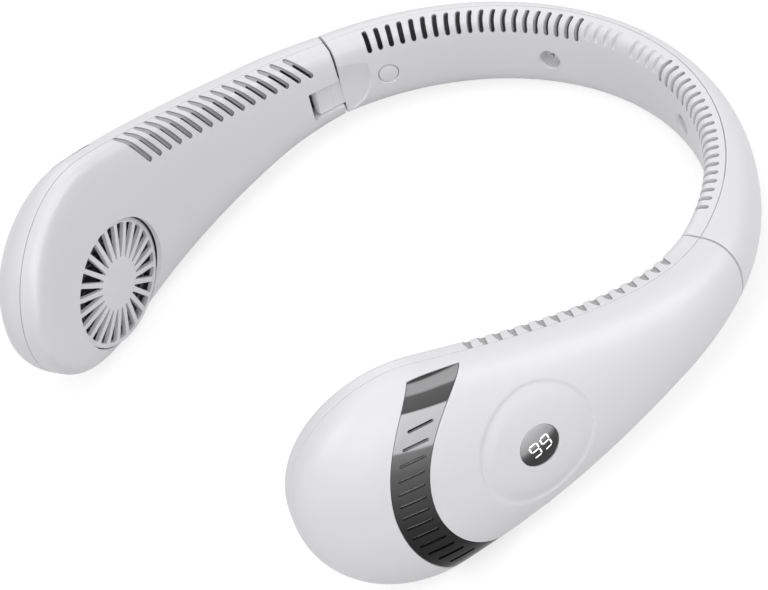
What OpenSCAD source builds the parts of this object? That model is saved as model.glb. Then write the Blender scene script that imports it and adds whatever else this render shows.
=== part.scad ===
// Neck fan: a curved neck band with two hinged arms, each with a centrifugal fan in its bulb.
// Built about the band: the band's arc is centred on the Z axis, +Y is the back of the neck and
// the arms run towards -Y. The right side (+X) is modelled and mirrored to the left.
// A place on an arm is given by s, the length along its inner face from the arm's widest place
// (positive towards the hinge), by z, the height, and by u, the distance outwards from that face.

/* [Neck band] */
// Radius of the band's inner face
band_inner_r = 72; // [68:0.5:76]
// Thickness of the housing beside the hinges
hinge_t = 16.8; // [16:0.1:18]
// Thickness of the band at the back of the neck
band_back_t = 11.5; // [11:0.1:13]
// Height of the band above its middle plane
band_top = 11; // [10.6:0.1:12]
// Depth of the band below its middle plane
band_bottom = 12.4; // [12:0.1:13.5]
// Distance of the parting line of the shells from the inner face
seam_u = 6.5; // [6.3:0.1:7]
// Wall thickness of the moulded shells
wall = 1.6; // [1.4:0.05:1.7]

/* [Arms] */
// Radius of the arm's inner face in plan
arm_inner_r = 230; // [215:5:260]
// Length along the inner face from the arm's widest place to the hinge
hinge_s = 24; // [23:0.5:26]
// Length along the inner face from the arm's widest place to the middle of the bulb
bulb_s = 72; // [69:0.5:76]
// Radius of the bulb seen from the side
bulb_r = 31; // [30.6:0.1:33]
// Height of the middle of the bulb above the band's middle plane
bulb_z = 3.9; // [3:0.1:5]
// Thickness of the arm at the bulb
bulb_t = 21.5; // [21.2:0.1:23]
// Inward lean of the outer face, as a slope
outer_lean_share = 0.11; // [0.09:0.01:0.13]

/* [Air slots] */
// Number of slots along each arm
arm_slots = 16; // [12:1:16]
// Number of open slots on each half of the band
band_slots = 20; // [14:1:20]
// Number of blind slots beside the middle of the band, on each half
blind_slots = 4; // [2:1:4]
// Width of every slot
slot_w = 1.5; // [1.2:0.1:1.7]

/* [Intake grille] */
// Radius of the grille disc
grille_r = 18.6; // [17.6:0.1:18.8]
// Thickness of the grille disc
grille_t = 1.2; // [1:0.1:1.3]
// Radius of the plain hub of the grille
grille_hub_r = 8.5; // [7.5:0.1:9]
// Number of radial slots in the grille
grille_slots = 24; // [18:1:26]

/* [Fan] */
// Radius over the blades of the fan wheel
wheel_r = 15; // [14.4:0.1:15.2]
// Height of the fan wheel
wheel_h = 9.8; // [9.4:0.1:10]
// Number of blades
blades = 28; // [20:1:32]
// Thickness of a blade
blade_t = 0.8; // [0.7:0.05:0.9]
// Radius of the motor shaft
shaft_r = 0.75; // [0.65:0.05:0.85]

/* [Hinges] */
// Radius of the hinge pin
pin_r = 1.25; // [1.1:0.05:1.4]
// Radius of the barrel that turns on the pin
barrel_r = 2.9; // [2.7:0.05:3]
// Gap between an arm and the band
hinge_gap = 0.6; // [0.5:0.05:0.8]
// Running clearance of a pin or shaft, on the radius
run_gap = 0.05; // [0.04:0.01:0.08]

/* [Display button] */
// Radius of the glossy lens, which is the power button
lens_r = 5; // [4.7:0.1:5.2]
// Travel of the button
press_travel = 0.5; // [0.3:0.05:0.6]
// Radius of the shallow disc round the lens
disc_r = 16.4; // [15.5:0.1:17]

/* [Hidden] */

white_c = "gainsboro";
smoke_c = "dimgray";
steel_c = "silver";
board_c = "darkgreen";
copper_c = "peru";
dark_c = "darkslategray";

over = 3;             // overrun of every cut
gap = 0.3;            // clearance between neighbouring pieces
line_gap = 0.15;      // width of the parting line between two shells
fit_gap = 0.03;       // clearance of a piece pressed or glued into another
facets = 96;          // sides of a round piece
fine = 48;            // sides of a small round piece
dome_facets = 360;    // sides of a large ball, of which a piece is a small part
reach = 4 * (band_inner_r + bulb_s);   // longer than the whole part

// Form of the housing

inner_n = 5;          // squareness of the neck side of the section
outer_n = 2.3;        // squareness of the outer side of the section
inner_steps = 12;     // facets across the neck side
outer_steps = 12;     // facets across the outer side
rings = 25;           // rings along an arm
band_rings = 28;      // rings along the band's outer shell
ring_ease = 1.6;      // how much the rings crowd towards the tip
tip_inner_n = 6;      // squareness of the tip in plan, on the neck side
tip_outer_n = 2.4;    // squareness of the tip in plan, on the outer side
top_rise_share = 0.28;     // slope of the top edge where it meets the bulb
top_start_share = 0.1;     // slope of the top edge at the hinge
low_fall_share = 0.16;     // slope of the lower edge where it meets the bulb
low_start_share = 0.1;     // slope of the lower edge at the hinge
swell_share = 1.35;        // how early the arm thickens, 1 being evenly
inner_lean_share = 0.15;   // lean of the neck side, as a share of the outer lean
lean_z = 8;           // height about which the arm leans
lean_s = 45;          // distance along the arm at which it leans fully

function deg(v) = v * 180 / PI;
function clip(v, low, high) = min(max(v, low), high);
function spine_r(s) = s > 0 ? band_inner_r : arm_inner_r;
function spine_a(s) = deg(s / spine_r(s));
function place(s, u, z) = [
    band_inner_r - spine_r(s) + (spine_r(s) + u) * cos(spine_a(s)),
    (spine_r(s) + u) * sin(spine_a(s)),
    z
];
function plan(s, u) = [place(s, u, 0)[0], place(s, u, 0)[1]];
function power(v, n) = sign(v) * abs(v) ^ (2 / n);
function flip(v) = [for (i = [len(v) - 1:-1:0]) v[i]];

// A cubic from height z0 with slope m0 at the hinge to height z1 with slope m1, l further on
function blend(t, l, z0, m0, z1, m1) =
    (2 * t ^ 3 - 3 * t ^ 2 + 1) * z0 + (t ^ 3 - 2 * t ^ 2 + t) * l * m0
    + (3 * t ^ 2 - 2 * t ^ 3) * z1 + (t ^ 3 - t ^ 2) * l * m1;

// Upper and lower edge of the arm, drawn in by d: the cubic runs into the bulb's circle
function edge_s(m) = -bulb_s + bulb_r * sin(atan(m));
function edge_z(s, d, m0, m1, z0) =
    let (s1 = edge_s(m1), l = hinge_s - s1)
    s > s1
    ? blend((hinge_s - s) / l, l, z0, m0, bulb_r * cos(atan(m1)), m1) - d
    : sqrt(max((bulb_r - d) ^ 2 - (s + bulb_s) ^ 2, 0));
function arm_top(s, d = 0) =
    bulb_z + edge_z(s, d, top_start_share, top_rise_share, band_top - bulb_z);
function arm_low(s, d = 0) =
    bulb_z - edge_z(s, d, low_start_share, low_fall_share, band_bottom + bulb_z);
function arm_mid(s, d = 0) = (arm_top(s, d) + arm_low(s, d)) / 2;
function arm_half(s, d = 0) = (arm_top(s, d) - arm_low(s, d)) / 2;

// Thickness of the arm, its lean at s, and how it closes at the tip
function along(s) = clip((hinge_s - s) / (hinge_s + bulb_s), 0, 1);
function arm_t(s) =
    hinge_t + (bulb_t - hinge_t) * (swell_share * along(s) + (1 - swell_share) * along(s) ^ 2);
function lean(s) =
    let (q = clip((hinge_s - s) / (hinge_s + lean_s), 0, 1))
    outer_lean_share * q * q * (3 - 2 * q);
function lean_part(c) = inner_lean_share + (1 - inner_lean_share) * (1 + c) / 2;
function tip_close(s, d, n) = (1 - clip((-bulb_s - s) / (bulb_r - d), 0, 1) ^ n) ^ (1 / n);

// One point of an arm's section, d under the surface: th is 0 on the outer face, 90 at the top
// and 180 on the neck side
function inner_point(s, th, d) =
    let (
        z = arm_mid(s, d) + arm_half(s, d) * power(sin(th), inner_n),
        u = seam_u + (seam_u - d) * power(cos(th), inner_n) * tip_close(s, d, tip_inner_n)
    )
    place(s, u - lean(s) * lean_part(cos(th)) * (z - lean_z), z);
function outer_point(s, th, d) =
    let (
        start = seam_u + line_gap,
        z = arm_mid(s, d) + arm_half(s, d) * power(sin(th), outer_n),
        u = start + (arm_t(s) - d - start) * power(cos(th), outer_n) * tip_close(s, d, tip_outer_n)
    )
    place(s, u - lean(s) * lean_part(cos(th)) * (z - lean_z), z);

// Distance of the outer face from the neck side at a height z
function outer_u(s, z, d = 0) =
    let (
        q = clip(abs(z - arm_mid(s, d)) / arm_half(s, d), 0, 1),
        c = (1 - q ^ outer_n) ^ (1 / outer_n),
        start = seam_u + line_gap,
        u = start + (arm_t(s) - d - start) * c * tip_close(s, d, tip_outer_n)
    )
    u - lean(s) * lean_part(c ^ (outer_n / 2)) * (z - lean_z);

// A layer of one half of the arm, from the depth d0 to the depth d1 under its surface
module arm_layer(point, th0, th1, steps, d0, d1, start) {
    cols = steps + 1;
    pick = function (i, d)
        arm_end_s - (arm_end_s + bulb_s + bulb_r - d) * (1 - (1 - i / rings) ^ ring_ease);
    grid = function (d) [
        for (i = [0:rings - 1], j = [0:steps])
            point(pick(i, d), th0 + (th1 - th0) * j / steps, d)
    ];
    tip = function (d)
        place(-bulb_s - bulb_r + d, start - lean(-bulb_s) * lean_part(0) * (bulb_z - lean_z), bulb_z);
    near = rings * cols;
    far = near + 1;
    points = concat(grid(d0), [tip(d0)], grid(d1), [tip(d1)]);
    quads = [
        for (i = [0:rings - 2], j = [0:steps - 1])
            let (a = i * cols + j)
            [a, a + cols, a + cols + 1, a + 1]
    ];
    last = (rings - 1) * cols;
    faces = concat(
        [for (q = quads) each [[q[0], q[1], q[2]], [q[0], q[2], q[3]]]],
        [for (q = quads) each [[far + q[0], far + q[2], far + q[1]], [far + q[0], far + q[3], far + q[2]]]],
        [for (j = [0:steps - 1]) each
            let (a = last + j)
            [[a, near, a + 1], [far + a, far + a + 1, far + near]]],
        [for (i = [0:rings - 2]) each
            let (a = i * cols, b = a + cols, c = a + steps, e = b + steps)
            [[a, far + a, far + b], [a, far + b, b], [c, far + e, far + c], [c, e, far + e]]],
        [[last, far + last, far + near], [last, far + near, near]],
        [[last + steps, far + near, far + last + steps], [last + steps, near, far + near]],
        [for (j = [0:steps - 1]) each [[j, j + 1, far + j + 1], [j, far + j + 1, far + j]]]
    );
    polyhedron(points, faces);
}
arm_end_s = hinge_s - hinge_gap / 2;
module arm_inner_layer(d0, d1) {
    arm_layer(function (s, th, d) inner_point(s, th, d), 90, 270, inner_steps, d0, d1, seam_u);
}
module arm_outer_layer(d0, d1) {
    arm_layer(function (s, th, d) outer_point(s, th, d), -90, 90, outer_steps, d0, d1,
        seam_u + line_gap);
}

// Places: at() turns local X along the arm to the hinge, local Y up and local Z outwards
module at(s, u, z) {
    translate(place(s, u, z))
        rotate([0, 0, spine_a(s)])
            rotate([0, 90, 0])
                rotate([0, 0, 90])
                    children();
}
module at_band(a, u, z) {
    rotate([0, 0, a])
        translate([band_inner_r + u, 0, z])
            rotate([0, 90, 0])
                rotate([0, 0, 90])
                    children();
}

band_end_a = deg((hinge_s + hinge_gap / 2) / band_inner_r);   // where the band starts
band_mid = (band_top - band_bottom) / 2;      // height of the middle of the band's section
band_half = (band_top + band_bottom) / 2;     // half the height of the band's section

// The part at rest: it leans back until the band and both bulbs touch the surface that it lies on
rest_flat = 0.3;      // depth of the flats that it rests on
rest_dy = (band_inner_r + seam_u) + (arm_inner_r + seam_u) * sin(deg(bulb_s / arm_inner_r));
rest_dz = band_bottom + bulb_z;
rest_tilt = asin(bulb_r / norm([rest_dy, rest_dz])) - atan(rest_dz / rest_dy);
rest_z = (band_inner_r + seam_u) * sin(rest_tilt) + band_bottom * cos(rest_tilt) - rest_flat;
function leaned_y(p) = p[1] * cos(rest_tilt) + p[2] * sin(rest_tilt);
tip_places = [for (k = [0:facets]) -bulb_s - bulb_r * sin(90 * k / facets)];
turns = [for (k = [0:facets]) -90 + 180 * k / facets];
back_y = max([for (th = turns) leaned_y(band_point(90, th, 0))]);
front_y = min([for (s = tip_places, th = turns) leaned_y(outer_point(s, th, 0))]);
rest_y = -(back_y + front_y) / 2;

module right() {
    translate([0, rest_y, rest_z])
        rotate([-rest_tilt, 0, 0])
            children();
}
module left() {
    right()
        mirror([1, 0, 0])
            children();
}
module above_rest() {
    difference() {
        children();
        translate([-reach / 2, -reach / 2, -reach])
            cube(reach);
    }
}

// Plain shapes

module tube(r0, r1, h) {
    difference() {
        cylinder(h = h, r = r1, $fn = facets);
        translate([0, 0, -over])
            cylinder(h = h + 2 * over, r = r0, $fn = facets);
    }
}
// A round-ended slot, long along X, cut along Z
module slot(length, width, depth) {
    linear_extrude(depth)
        union() {
            square([length - width, width], center = true);
            for (k = [-1, 1])
                translate([k * (length - width) / 2, 0])
                    circle(d = width, $fn = 24);
        }
}
// The same slot from point p to point q, cut towards the direction face
module edge_slot(p, q, face, width, below, above) {
    v = q - p;
    l = norm(v);
    turn_y = -asin(v[2] / l);
    turn_z = atan2(v[1], v[0]);
    side = cross(face, v / l);
    across = [-sin(turn_z), cos(turn_z), 0];
    up = cross(v / l, across);
    translate((p + q) / 2)
        rotate([0, turn_y, turn_z])
            rotate([atan2(side * up, side * across), 0, 0])
                translate([0, 0, -below])
                    slot(l + width, width, below + above);
}
// A plate with rounded corners, centred in X and Y
module plate(x, y, h, r) {
    linear_extrude(h)
        union() {
            square([x - 2 * r, y], center = true);
            square([x, y - 2 * r], center = true);
            for (i = [-1, 1], j = [-1, 1])
                translate([i * (x / 2 - r), j * (y / 2 - r)])
                    circle(r = r, $fn = fine);
        }
}
// A block that follows the inner face, from s0 to s1, from u0 to u1 and from z0 to z1
module curved_block(s0, s1, u0, u1, z0, z1) {
    steps = 6;
    translate([0, 0, z0])
        linear_extrude(z1 - z0)
            polygon(concat(
                [for (k = [0:steps]) plan(s0 + (s1 - s0) * k / steps, u0)],
                [for (k = [steps:-1:0]) plan(s0 + (s1 - s0) * k / steps, u1)]
            ));
}

// Air slots in the shells

slot_top_u = 3.9;           // distance of a slot's upper end from the neck side
slot_below = 3.4;           // depth of an open slot under its chord
slot_above = 4;             // reach of a slot over its chord
blind_depth = 0.3;          // depth of a blind slot under its chord
groove_deep = 0.5;          // depth of an arm's slots where they run out over the edge
groove_share = 0.35;        // share of a slot's length that is only such a groove
groove_w = 1.3;             // width of these grooves
arm_slot_first_s = 49.3;    // place of the slot nearest the bulb
arm_slot_last_s = 11.5;     // place of the slot nearest the hinge
arm_slot_drop = 10.6;       // fall of the slot nearest the bulb
arm_slot_drop_last = 5.6;   // fall of the slot nearest the hinge
arm_slot_slant = 6.1;       // sideways run of the slot nearest the bulb
arm_slot_slant_last = 4.6;  // sideways run of the slot nearest the hinge
band_slot_drop = 3.4;       // fall of a slot of the band
band_slot_from = 13.1;      // angle from the middle of the first open slot
band_slot_to = 62.4;        // angle from the middle of the last open slot
blind_slot_from = 2.7;      // angle from the middle of the first blind slot
blind_slot_to = 10.5;       // angle from the middle of the last blind slot
slot_rise_share = 0.5;      // rise of the way a slot faces, against its outward reach

// The slots of an arm, from a share of their length to their lower end
module arm_slot_row(from, width) {
    for (i = [0:arm_slots - 1]) {
        k = i / (arm_slots - 1);
        s = -arm_slot_first_s + (arm_slot_first_s + arm_slot_last_s) * k;
        drop = arm_slot_drop + (arm_slot_drop_last - arm_slot_drop) * k;
        slant = arm_slot_slant + (arm_slot_slant_last - arm_slot_slant) * k;
        p = place(s, slot_top_u, arm_top(s));
        q = place(s + slant, 0, arm_top(s) - drop);
        face = [-cos(spine_a(s)), -sin(spine_a(s)), slot_rise_share];
        edge_slot(p + from * (q - p), q, face, width, slot_below, slot_above);
    }
}
module band_slot_row(count, from, to, below) {
    for (i = [0:count - 1], side = [-1, 1]) {
        a = 90 + side * (from + (to - from) * i / (count - 1));
        ray = [cos(a), sin(a), 0];
        lift = [0, 0, band_top];
        edge_slot(
            (band_inner_r + slot_top_u) * ray + lift,
            band_inner_r * ray + lift - [0, 0, band_slot_drop],
            [0, 0, 1] - ray, slot_w, below, slot_above
        );
    }
}

// Hinges: a barrel at each end of the band turns on a pin in the arm

pin_back = 5.5;             // distance of the pin from the band's end
notch_room = 1.9;           // room behind the barrel in the arm's notch
pin_s = hinge_s - pin_back; // place of the pin along the inner face
pin_u = barrel_r + gap;     // distance of the pin from the inner face
notch_top = 1.1;            // top of the notch in the arm
notch_low = -8.4;           // floor of the notch in the arm
notch_s = pin_s - barrel_r - notch_room;   // far end of the notch
notch_u = pin_u + barrel_r + line_gap;     // depth of the notch
prong_t = 2.6;              // thickness of the upper prong and of the notch's end wall
prong_u = seam_u - gap;     // outer side of the prongs
tongue_u = 0.9;             // distance of the tongue's face behind the inner face
tongue_foot = 7;            // length of the tongue inside the band
pin_low = -band_bottom + wall + gap;       // lower end of the pin
pin_top = notch_top + prong_t;             // upper end of the pin
edge_cut = 0.45;            // chamfer on the arm's end, which lets it fold
dish_back = 2.5;            // distance of the round relief's middle from the band's end
dish_s = hinge_s - dish_back;              // middle of the round relief beside the hinge
dish_r = 10;                // radius of that relief
dish_deep = 1.1;            // depth of that relief

module on_pin(z) {
    translate(place(pin_s, pin_u, z))
        children();
}
// The round relief in which the arm's end swings
module relief() {
    ball = (dish_r ^ 2 + dish_deep ^ 2) / (2 * dish_deep);
    translate(place(dish_s, dish_deep - ball, 0))
        sphere(r = ball, $fn = dome_facets);
}
module tongue() {
    difference() {
        union() {
            on_pin(notch_low + gap)
                cylinder(h = notch_top - notch_low - 2 * gap, r = barrel_r, $fn = facets);
            curved_block(pin_s, hinge_s + tongue_foot, tongue_u, pin_u + barrel_r,
                notch_low + gap, notch_top - gap);
        }
        on_pin(notch_low)
            cylinder(h = notch_top - notch_low, r = pin_r + run_gap, $fn = facets);
    }
}
module prongs() {
    far_s = notch_s - prong_t;
    curved_block(far_s, arm_end_s, wall / 2, prong_u, notch_top, pin_top);
    curved_block(far_s, arm_end_s, wall / 2, prong_u, pin_low, notch_low);
    curved_block(far_s, arm_end_s, 2 * wall, prong_u, pin_low - wall + gap / 2, notch_low);
    curved_block(far_s, notch_s, wall / 2, prong_u, pin_low, pin_top);
}
module hinge_pin() {
    color(steel_c)
        on_pin(pin_low)
            cylinder(h = pin_top - pin_low, r = pin_r, $fn = facets);
}

// Band

screw_r = 0.8;        // radius of a screw's thread
screw_long = 4.5;     // length of a screw's thread
head_r = 1.8;         // radius of a screw head
head_t = 1.2;         // thickness of a screw head
head_cross_share = 0.22;     // width of the cross in a screw head
screw_z = -2.6;       // height of the band's screws
screw_a = 21.3;       // angle from the middle of the open screw recesses
cap_a = 59.5;         // angle from the middle of the capped screw recesses
well_r = 3;           // radius of a screw recess
well_wall = 1;        // wall of a screw recess
well_deep = 2.2;      // depth of a screw recess behind the shell
post_r = 2.4;         // radius of a screw post
root_share = 0.8;     // how deep a post stands in the wall, as a share of the wall
cap_t = 0.9;          // thickness of a screw cap
cap_sink = 0.1;       // how far a screw cap lies under the surface
well_end = wall + well_deep;        // floor of a screw recess
post_start = well_end + well_wall + line_gap;

function band_section(d) = [
    for (j = [0:inner_steps])
        let (th = 90 + 180 * j / inner_steps)
        [
            band_inner_r + seam_u + (seam_u - d) * power(cos(th), inner_n),
            band_mid + (band_half - d) * power(sin(th), inner_n)
        ]
];
function band_t(a) = band_back_t + (hinge_t - band_back_t) * (1 - sin(a)) / (1 - sin(band_end_a));
function band_point(a, th, d) =
    let (
        start = seam_u + line_gap,
        r = band_inner_r + start + (band_t(a) - start - d) * power(cos(th), outer_n)
    )
    [r * cos(a), r * sin(a), band_mid + (band_half - d) * power(sin(th), outer_n)];

module at_screws(angles) {
    for (a = angles, side = [-1, 1])
        at_band(90 + side * a, 0, screw_z)
            children();
}
module screw(length) {
    difference() {
        union() {
            cylinder(h = head_t, r = head_r, $fn = fine);
            cylinder(h = head_t + length, r = screw_r, $fn = fine);
        }
        for (k = [0, 90])
            rotate([0, 0, k])
                cube([head_r, head_r * head_cross_share, head_t], center = true);
    }
}
module band_inner_shell() {
    color(white_c)
        difference() {
            union() {
                rotate([0, 0, band_end_a])
                    rotate_extrude(angle = 180 - 2 * band_end_a, $fn = dome_facets)
                        polygon(concat(band_section(0), flip(band_section(wall))));
                at_screws([screw_a, cap_a])
                    translate([0, 0, wall / 2])
                        cylinder(h = well_end + well_wall - wall / 2, r = well_r + well_wall, $fn = facets);
                for (side = [0, 1])
                    mirror([side, 0, 0])
                        tongue();
            }
            band_slot_row(band_slots, band_slot_from, band_slot_to, slot_below);
            band_slot_row(blind_slots, blind_slot_from, blind_slot_to, blind_depth);
            at_screws([screw_a, cap_a])
                translate([0, 0, -over]) {
                    cylinder(h = over + well_end, r = well_r, $fn = facets);
                    cylinder(h = 2 * over + well_end + well_wall, r = screw_r + line_gap, $fn = fine);
                }
            for (side = [0, 1])
                mirror([side, 0, 0])
                    relief();
        }
}
module band_outer_form() {
    cols = 2 * (outer_steps + 1);
    turns = [for (j = [0:outer_steps]) -90 + 180 * j / outer_steps];
    points = [
        for (i = [0:band_rings])
            let (a = band_end_a + (180 - 2 * band_end_a) * i / band_rings)
            each concat(
                [for (th = turns) band_point(a, th, 0)],
                [for (th = flip(turns)) band_point(a, th, wall)]
            )
    ];
    end = band_rings * cols;
    faces = concat(
        [for (i = [0:band_rings - 1], j = [0:cols - 1]) each
            let (a = i * cols + j, b = i * cols + (j + 1) % cols)
            [[a, b, b + cols], [a, b + cols, a + cols]]],
        [for (j = [0:outer_steps - 1]) each
            let (a = j, b = j + 1, c = cols - 1 - j, e = c - 1)
            [[a, e, b], [a, c, e], [end + a, end + b, end + e], [end + a, end + e, end + c]]]
    );
    polyhedron(points, faces);
}
module screw_post(a) {
    at_band(a, post_start, screw_z)
        difference() {
            cylinder(h = band_t(a) - wall * root_share - post_start, r = post_r, $fn = fine);
            translate([0, 0, -over])
                cylinder(h = over + screw_long, r = screw_r + fit_gap, $fn = fine);
        }
}
module band_outer_shell() {
    color(white_c)
        union() {
            band_outer_form();
            for (a = [screw_a, cap_a], side = [-1, 1])
                screw_post(90 + side * a);
        }
}
module band_screws() {
    color(steel_c)
        at_screws([screw_a, cap_a])
            translate([0, 0, well_end - head_t])
                screw(screw_long);
}
module screw_caps() {
    color(white_c)
        at_screws([cap_a])
            translate([0, 0, cap_sink])
                cylinder(h = cap_t, r = well_r - line_gap, $fn = facets);
}

// Places of the fan and of the display disc

fan_fore = 4;               // distance of the fan's axis from the bulb's middle, towards the hinge
fan_drop = 10.2;            // distance of the fan's axis under the bulb's middle
fan_s = bulb_s - fan_fore;  // middle of the fan and its grille along the arm
fan_z = bulb_z - fan_drop;  // height of the fan's axis
disc_s = 44.5;              // middle of the disc round the lens
disc_z = 4;                 // height of the disc's middle

module at_fan(w = 0) {
    at(-fan_s, w, fan_z)
        children();
}
// The disc lies square to the outer face, which leans and tapers there
disc_taper = (bulb_t - hinge_t) / (hinge_s + bulb_s)
    * (swell_share + 2 * (1 - swell_share) * along(-disc_s));
module at_disc(w = 0) {
    at(-disc_s, outer_u(-disc_s, disc_z), disc_z)
        rotate([-atan(lean(-disc_s)), atan(disc_taper), 0])
            translate([0, 0, w])
                children();
}

// Intake grille, a slightly domed disc that drops into a stepped hole

grille_w = 0.7;             // depth of the grille's middle behind the inner face
grille_dome = 0.8;          // how much the grille falls back towards its rim
grille_edge = 1.6;          // plain rim outside the grille's slots
grille_rib_w = 1.4;         // width of a rib between two slots
ledge = 1.3;                // width of the ledge behind the grille's rim
grille_end = grille_w + grille_dome + grille_t;    // back of the grille's rim

module grille_slot() {
    r0 = grille_hub_r;
    r1 = grille_r - grille_edge;
    pitch = 2 * PI / grille_slots;
    w0 = (pitch * r0 - grille_rib_w) / 2;
    w1 = (pitch * r1 - grille_rib_w) / 2;
    translate([0, 0, -over])
        linear_extrude(3 * over)
            polygon([[r0, -w0], [r1, -w1], [r1 + w1 / 4, 0], [r1, w1], [r0, w0]]);
}
module grille() {
    ball = (grille_r ^ 2 + grille_dome ^ 2) / (2 * grille_dome);
    color(white_c)
        at_fan()
            difference() {
                intersection() {
                    cylinder(h = grille_end, r = grille_r, $fn = facets);
                    translate([0, 0, grille_w + ball])
                        sphere(r = ball, $fn = dome_facets);
                }
                translate([0, 0, grille_w + grille_t + ball])
                    sphere(r = ball, $fn = dome_facets);
                for (k = [0:grille_slots - 1])
                    rotate([0, 0, 360 * k / grille_slots])
                        grille_slot();
            }
}

// Fan wheel and its motor, from the grille outwards

wheel_w = grille_end + gap;             // start of the wheel
wheel_end = wheel_w + wheel_h;          // end of the wheel
back_t = 0.8;                           // thickness of the wheel's back disc
blade_in_r = 11.2;                      // inner radius of the blades
blade_bend = 1.4;                       // how far a blade bows out of its chord
blade_sweep = 24;                       // angle by which a blade's tip leads its root
rim_w = 0.9;                            // width of the wheel's front rim
rim_t = 0.8;                            // thickness of the wheel's front rim
cup_r = 7.3;                            // outer radius of the wheel's hub cup
cup_wall = 0.8;                         // wall of the hub cup
cup_in = 2.2;                           // distance of the hub cup behind the wheel's front
cup_w = wheel_w + cup_in;               // front of the hub cup
cup_dome = 1.2;                         // rise of the hub's domed front
hub_boss_r = 2;                         // radius of the boss that holds the shaft
hub_boss_t = 2.6;                       // depth of that boss, with the cup's front
magnet_t = 0.9;                         // thickness of the magnet ring
air_gap = 0.3;                          // gap between magnets and stator
stator_r = cup_r - cup_wall - fit_gap - magnet_t - air_gap;
stator_t = 3;                           // height of the stator's iron
stator_core_r = 3;                      // radius of the stator's core
teeth = 6;                              // number of wound teeth
tooth_w = 0.9;                          // width of a tooth
shoe_t = 0.5;                           // thickness of a tooth's shoe
shoe_a = 22;                            // half the angle that a shoe covers
coil_t = 0.45;                          // thickness of a winding round its tooth
bearing_r = 1.6;                        // outer radius of the bearing bush
boss_wall = 0.5;                        // wall of the tube that holds the bearing
motor_w = cup_w + hub_boss_t + gap;     // start of the bearing
plate_w = wheel_end + gap;              // start of the motor plate
plate_t = 1.2;                          // thickness of the motor plate
plate_end = plate_w + plate_t;
stator_w = (motor_w + plate_w - stator_t) / 2 + gap;

module blade() {
    steps = 5;
    turn = function (q) blade_sweep * q;
    mid = function (q) blade_in_r + (wheel_r - blade_t / 2 - blade_in_r) * q;
    bow = function (q) blade_bend * 4 * q * (1 - q);
    line = function (side) [
        for (k = [0:steps])
            let (q = k / steps, r = mid(q), a = turn(q))
            r * [cos(a), sin(a)] + (bow(q) + side * blade_t / 2) * [sin(a), -cos(a)]
    ];
    polygon(concat(line(1), flip(line(-1))));
}
module fan_wheel() {
    color(white_c)
        at_fan()
            difference() {
                union() {
                    translate([0, 0, wheel_end - back_t])
                        cylinder(h = back_t, r = wheel_r, $fn = facets);
                    translate([0, 0, wheel_w])
                        tube(wheel_r - rim_w, wheel_r, rim_t);
                    translate([0, 0, wheel_w + rim_t / 2])
                        linear_extrude(wheel_h - rim_t / 2 - back_t / 2)
                            for (k = [0:blades - 1])
                                rotate([0, 0, 360 * k / blades])
                                    blade();
                    intersection() {
                        ball = (cup_r ^ 2 + cup_dome ^ 2) / (2 * cup_dome);
                        translate([0, 0, cup_w - cup_dome])
                            cylinder(h = wheel_end - cup_w + cup_dome, r = cup_r, $fn = facets);
                        translate([0, 0, cup_w - cup_dome + ball])
                            sphere(r = ball, $fn = facets);
                    }
                }
                translate([0, 0, cup_w + cup_wall])
                    tube(hub_boss_r, cup_r - cup_wall, wheel_h);
                translate([0, 0, cup_w + hub_boss_t])
                    cylinder(h = wheel_h, r = cup_r - cup_wall, $fn = facets);
                translate([0, 0, cup_w + cup_wall / 2])
                    cylinder(h = wheel_h, r = shaft_r + fit_gap, $fn = fine);
            }
}
module magnet_ring() {
    color(dark_c)
        at_fan(stator_w - gap)
            tube(stator_r + air_gap, stator_r + air_gap + magnet_t, stator_t + 2 * gap);
}
module motor_shaft() {
    color(steel_c)
        at_fan(cup_w + cup_wall / 2 + fit_gap)
            cylinder(h = plate_end - fit_gap - cup_w - cup_wall / 2 - gap, r = shaft_r, $fn = fine);
}
module bearing() {
    color(copper_c)
        at_fan(motor_w)
            tube(shaft_r + run_gap, bearing_r, plate_end - motor_w);
}
module tooth_pattern() {
    for (k = [0:teeth - 1])
        rotate([0, 0, 360 * k / teeth])
            children();
}
module stator() {
    color(steel_c)
        at_fan(stator_w)
            linear_extrude(stator_t)
                difference() {
                    union() {
                        circle(r = stator_core_r, $fn = fine);
                        tooth_pattern()
                            translate([stator_core_r / 2, -tooth_w / 2])
                                square([stator_r - shoe_t / 2 - stator_core_r / 2, tooth_w]);
                        intersection() {
                            difference() {
                                circle(r = stator_r, $fn = facets);
                                circle(r = stator_r - shoe_t, $fn = facets);
                            }
                            tooth_pattern()
                                polygon([
                                    [0, 0],
                                    [stator_r + over, -(stator_r + over) * tan(shoe_a)],
                                    [stator_r + over, (stator_r + over) * tan(shoe_a)]
                                ]);
                        }
                    }
                    circle(r = bearing_r + boss_wall + fit_gap, $fn = fine);
                }
}
module coils() {
    wide = tooth_w + 2 * fit_gap;
    high = stator_t + 2 * fit_gap;
    start = stator_core_r + fit_gap;
    long = sqrt((stator_r - shoe_t) ^ 2 - (wide / 2 + coil_t) ^ 2) - fit_gap - start;
    color(copper_c)
        at_fan(stator_w + stator_t / 2)
            tooth_pattern()
                translate([start + long / 2, 0, 0])
                    difference() {
                        cube([long, wide + 2 * coil_t, high + 2 * coil_t], center = true);
                        cube([long + over, wide, high], center = true);
                    }
}

// Scroll wall round the wheel, the plate that closes it and carries the motor, and its screws

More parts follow.
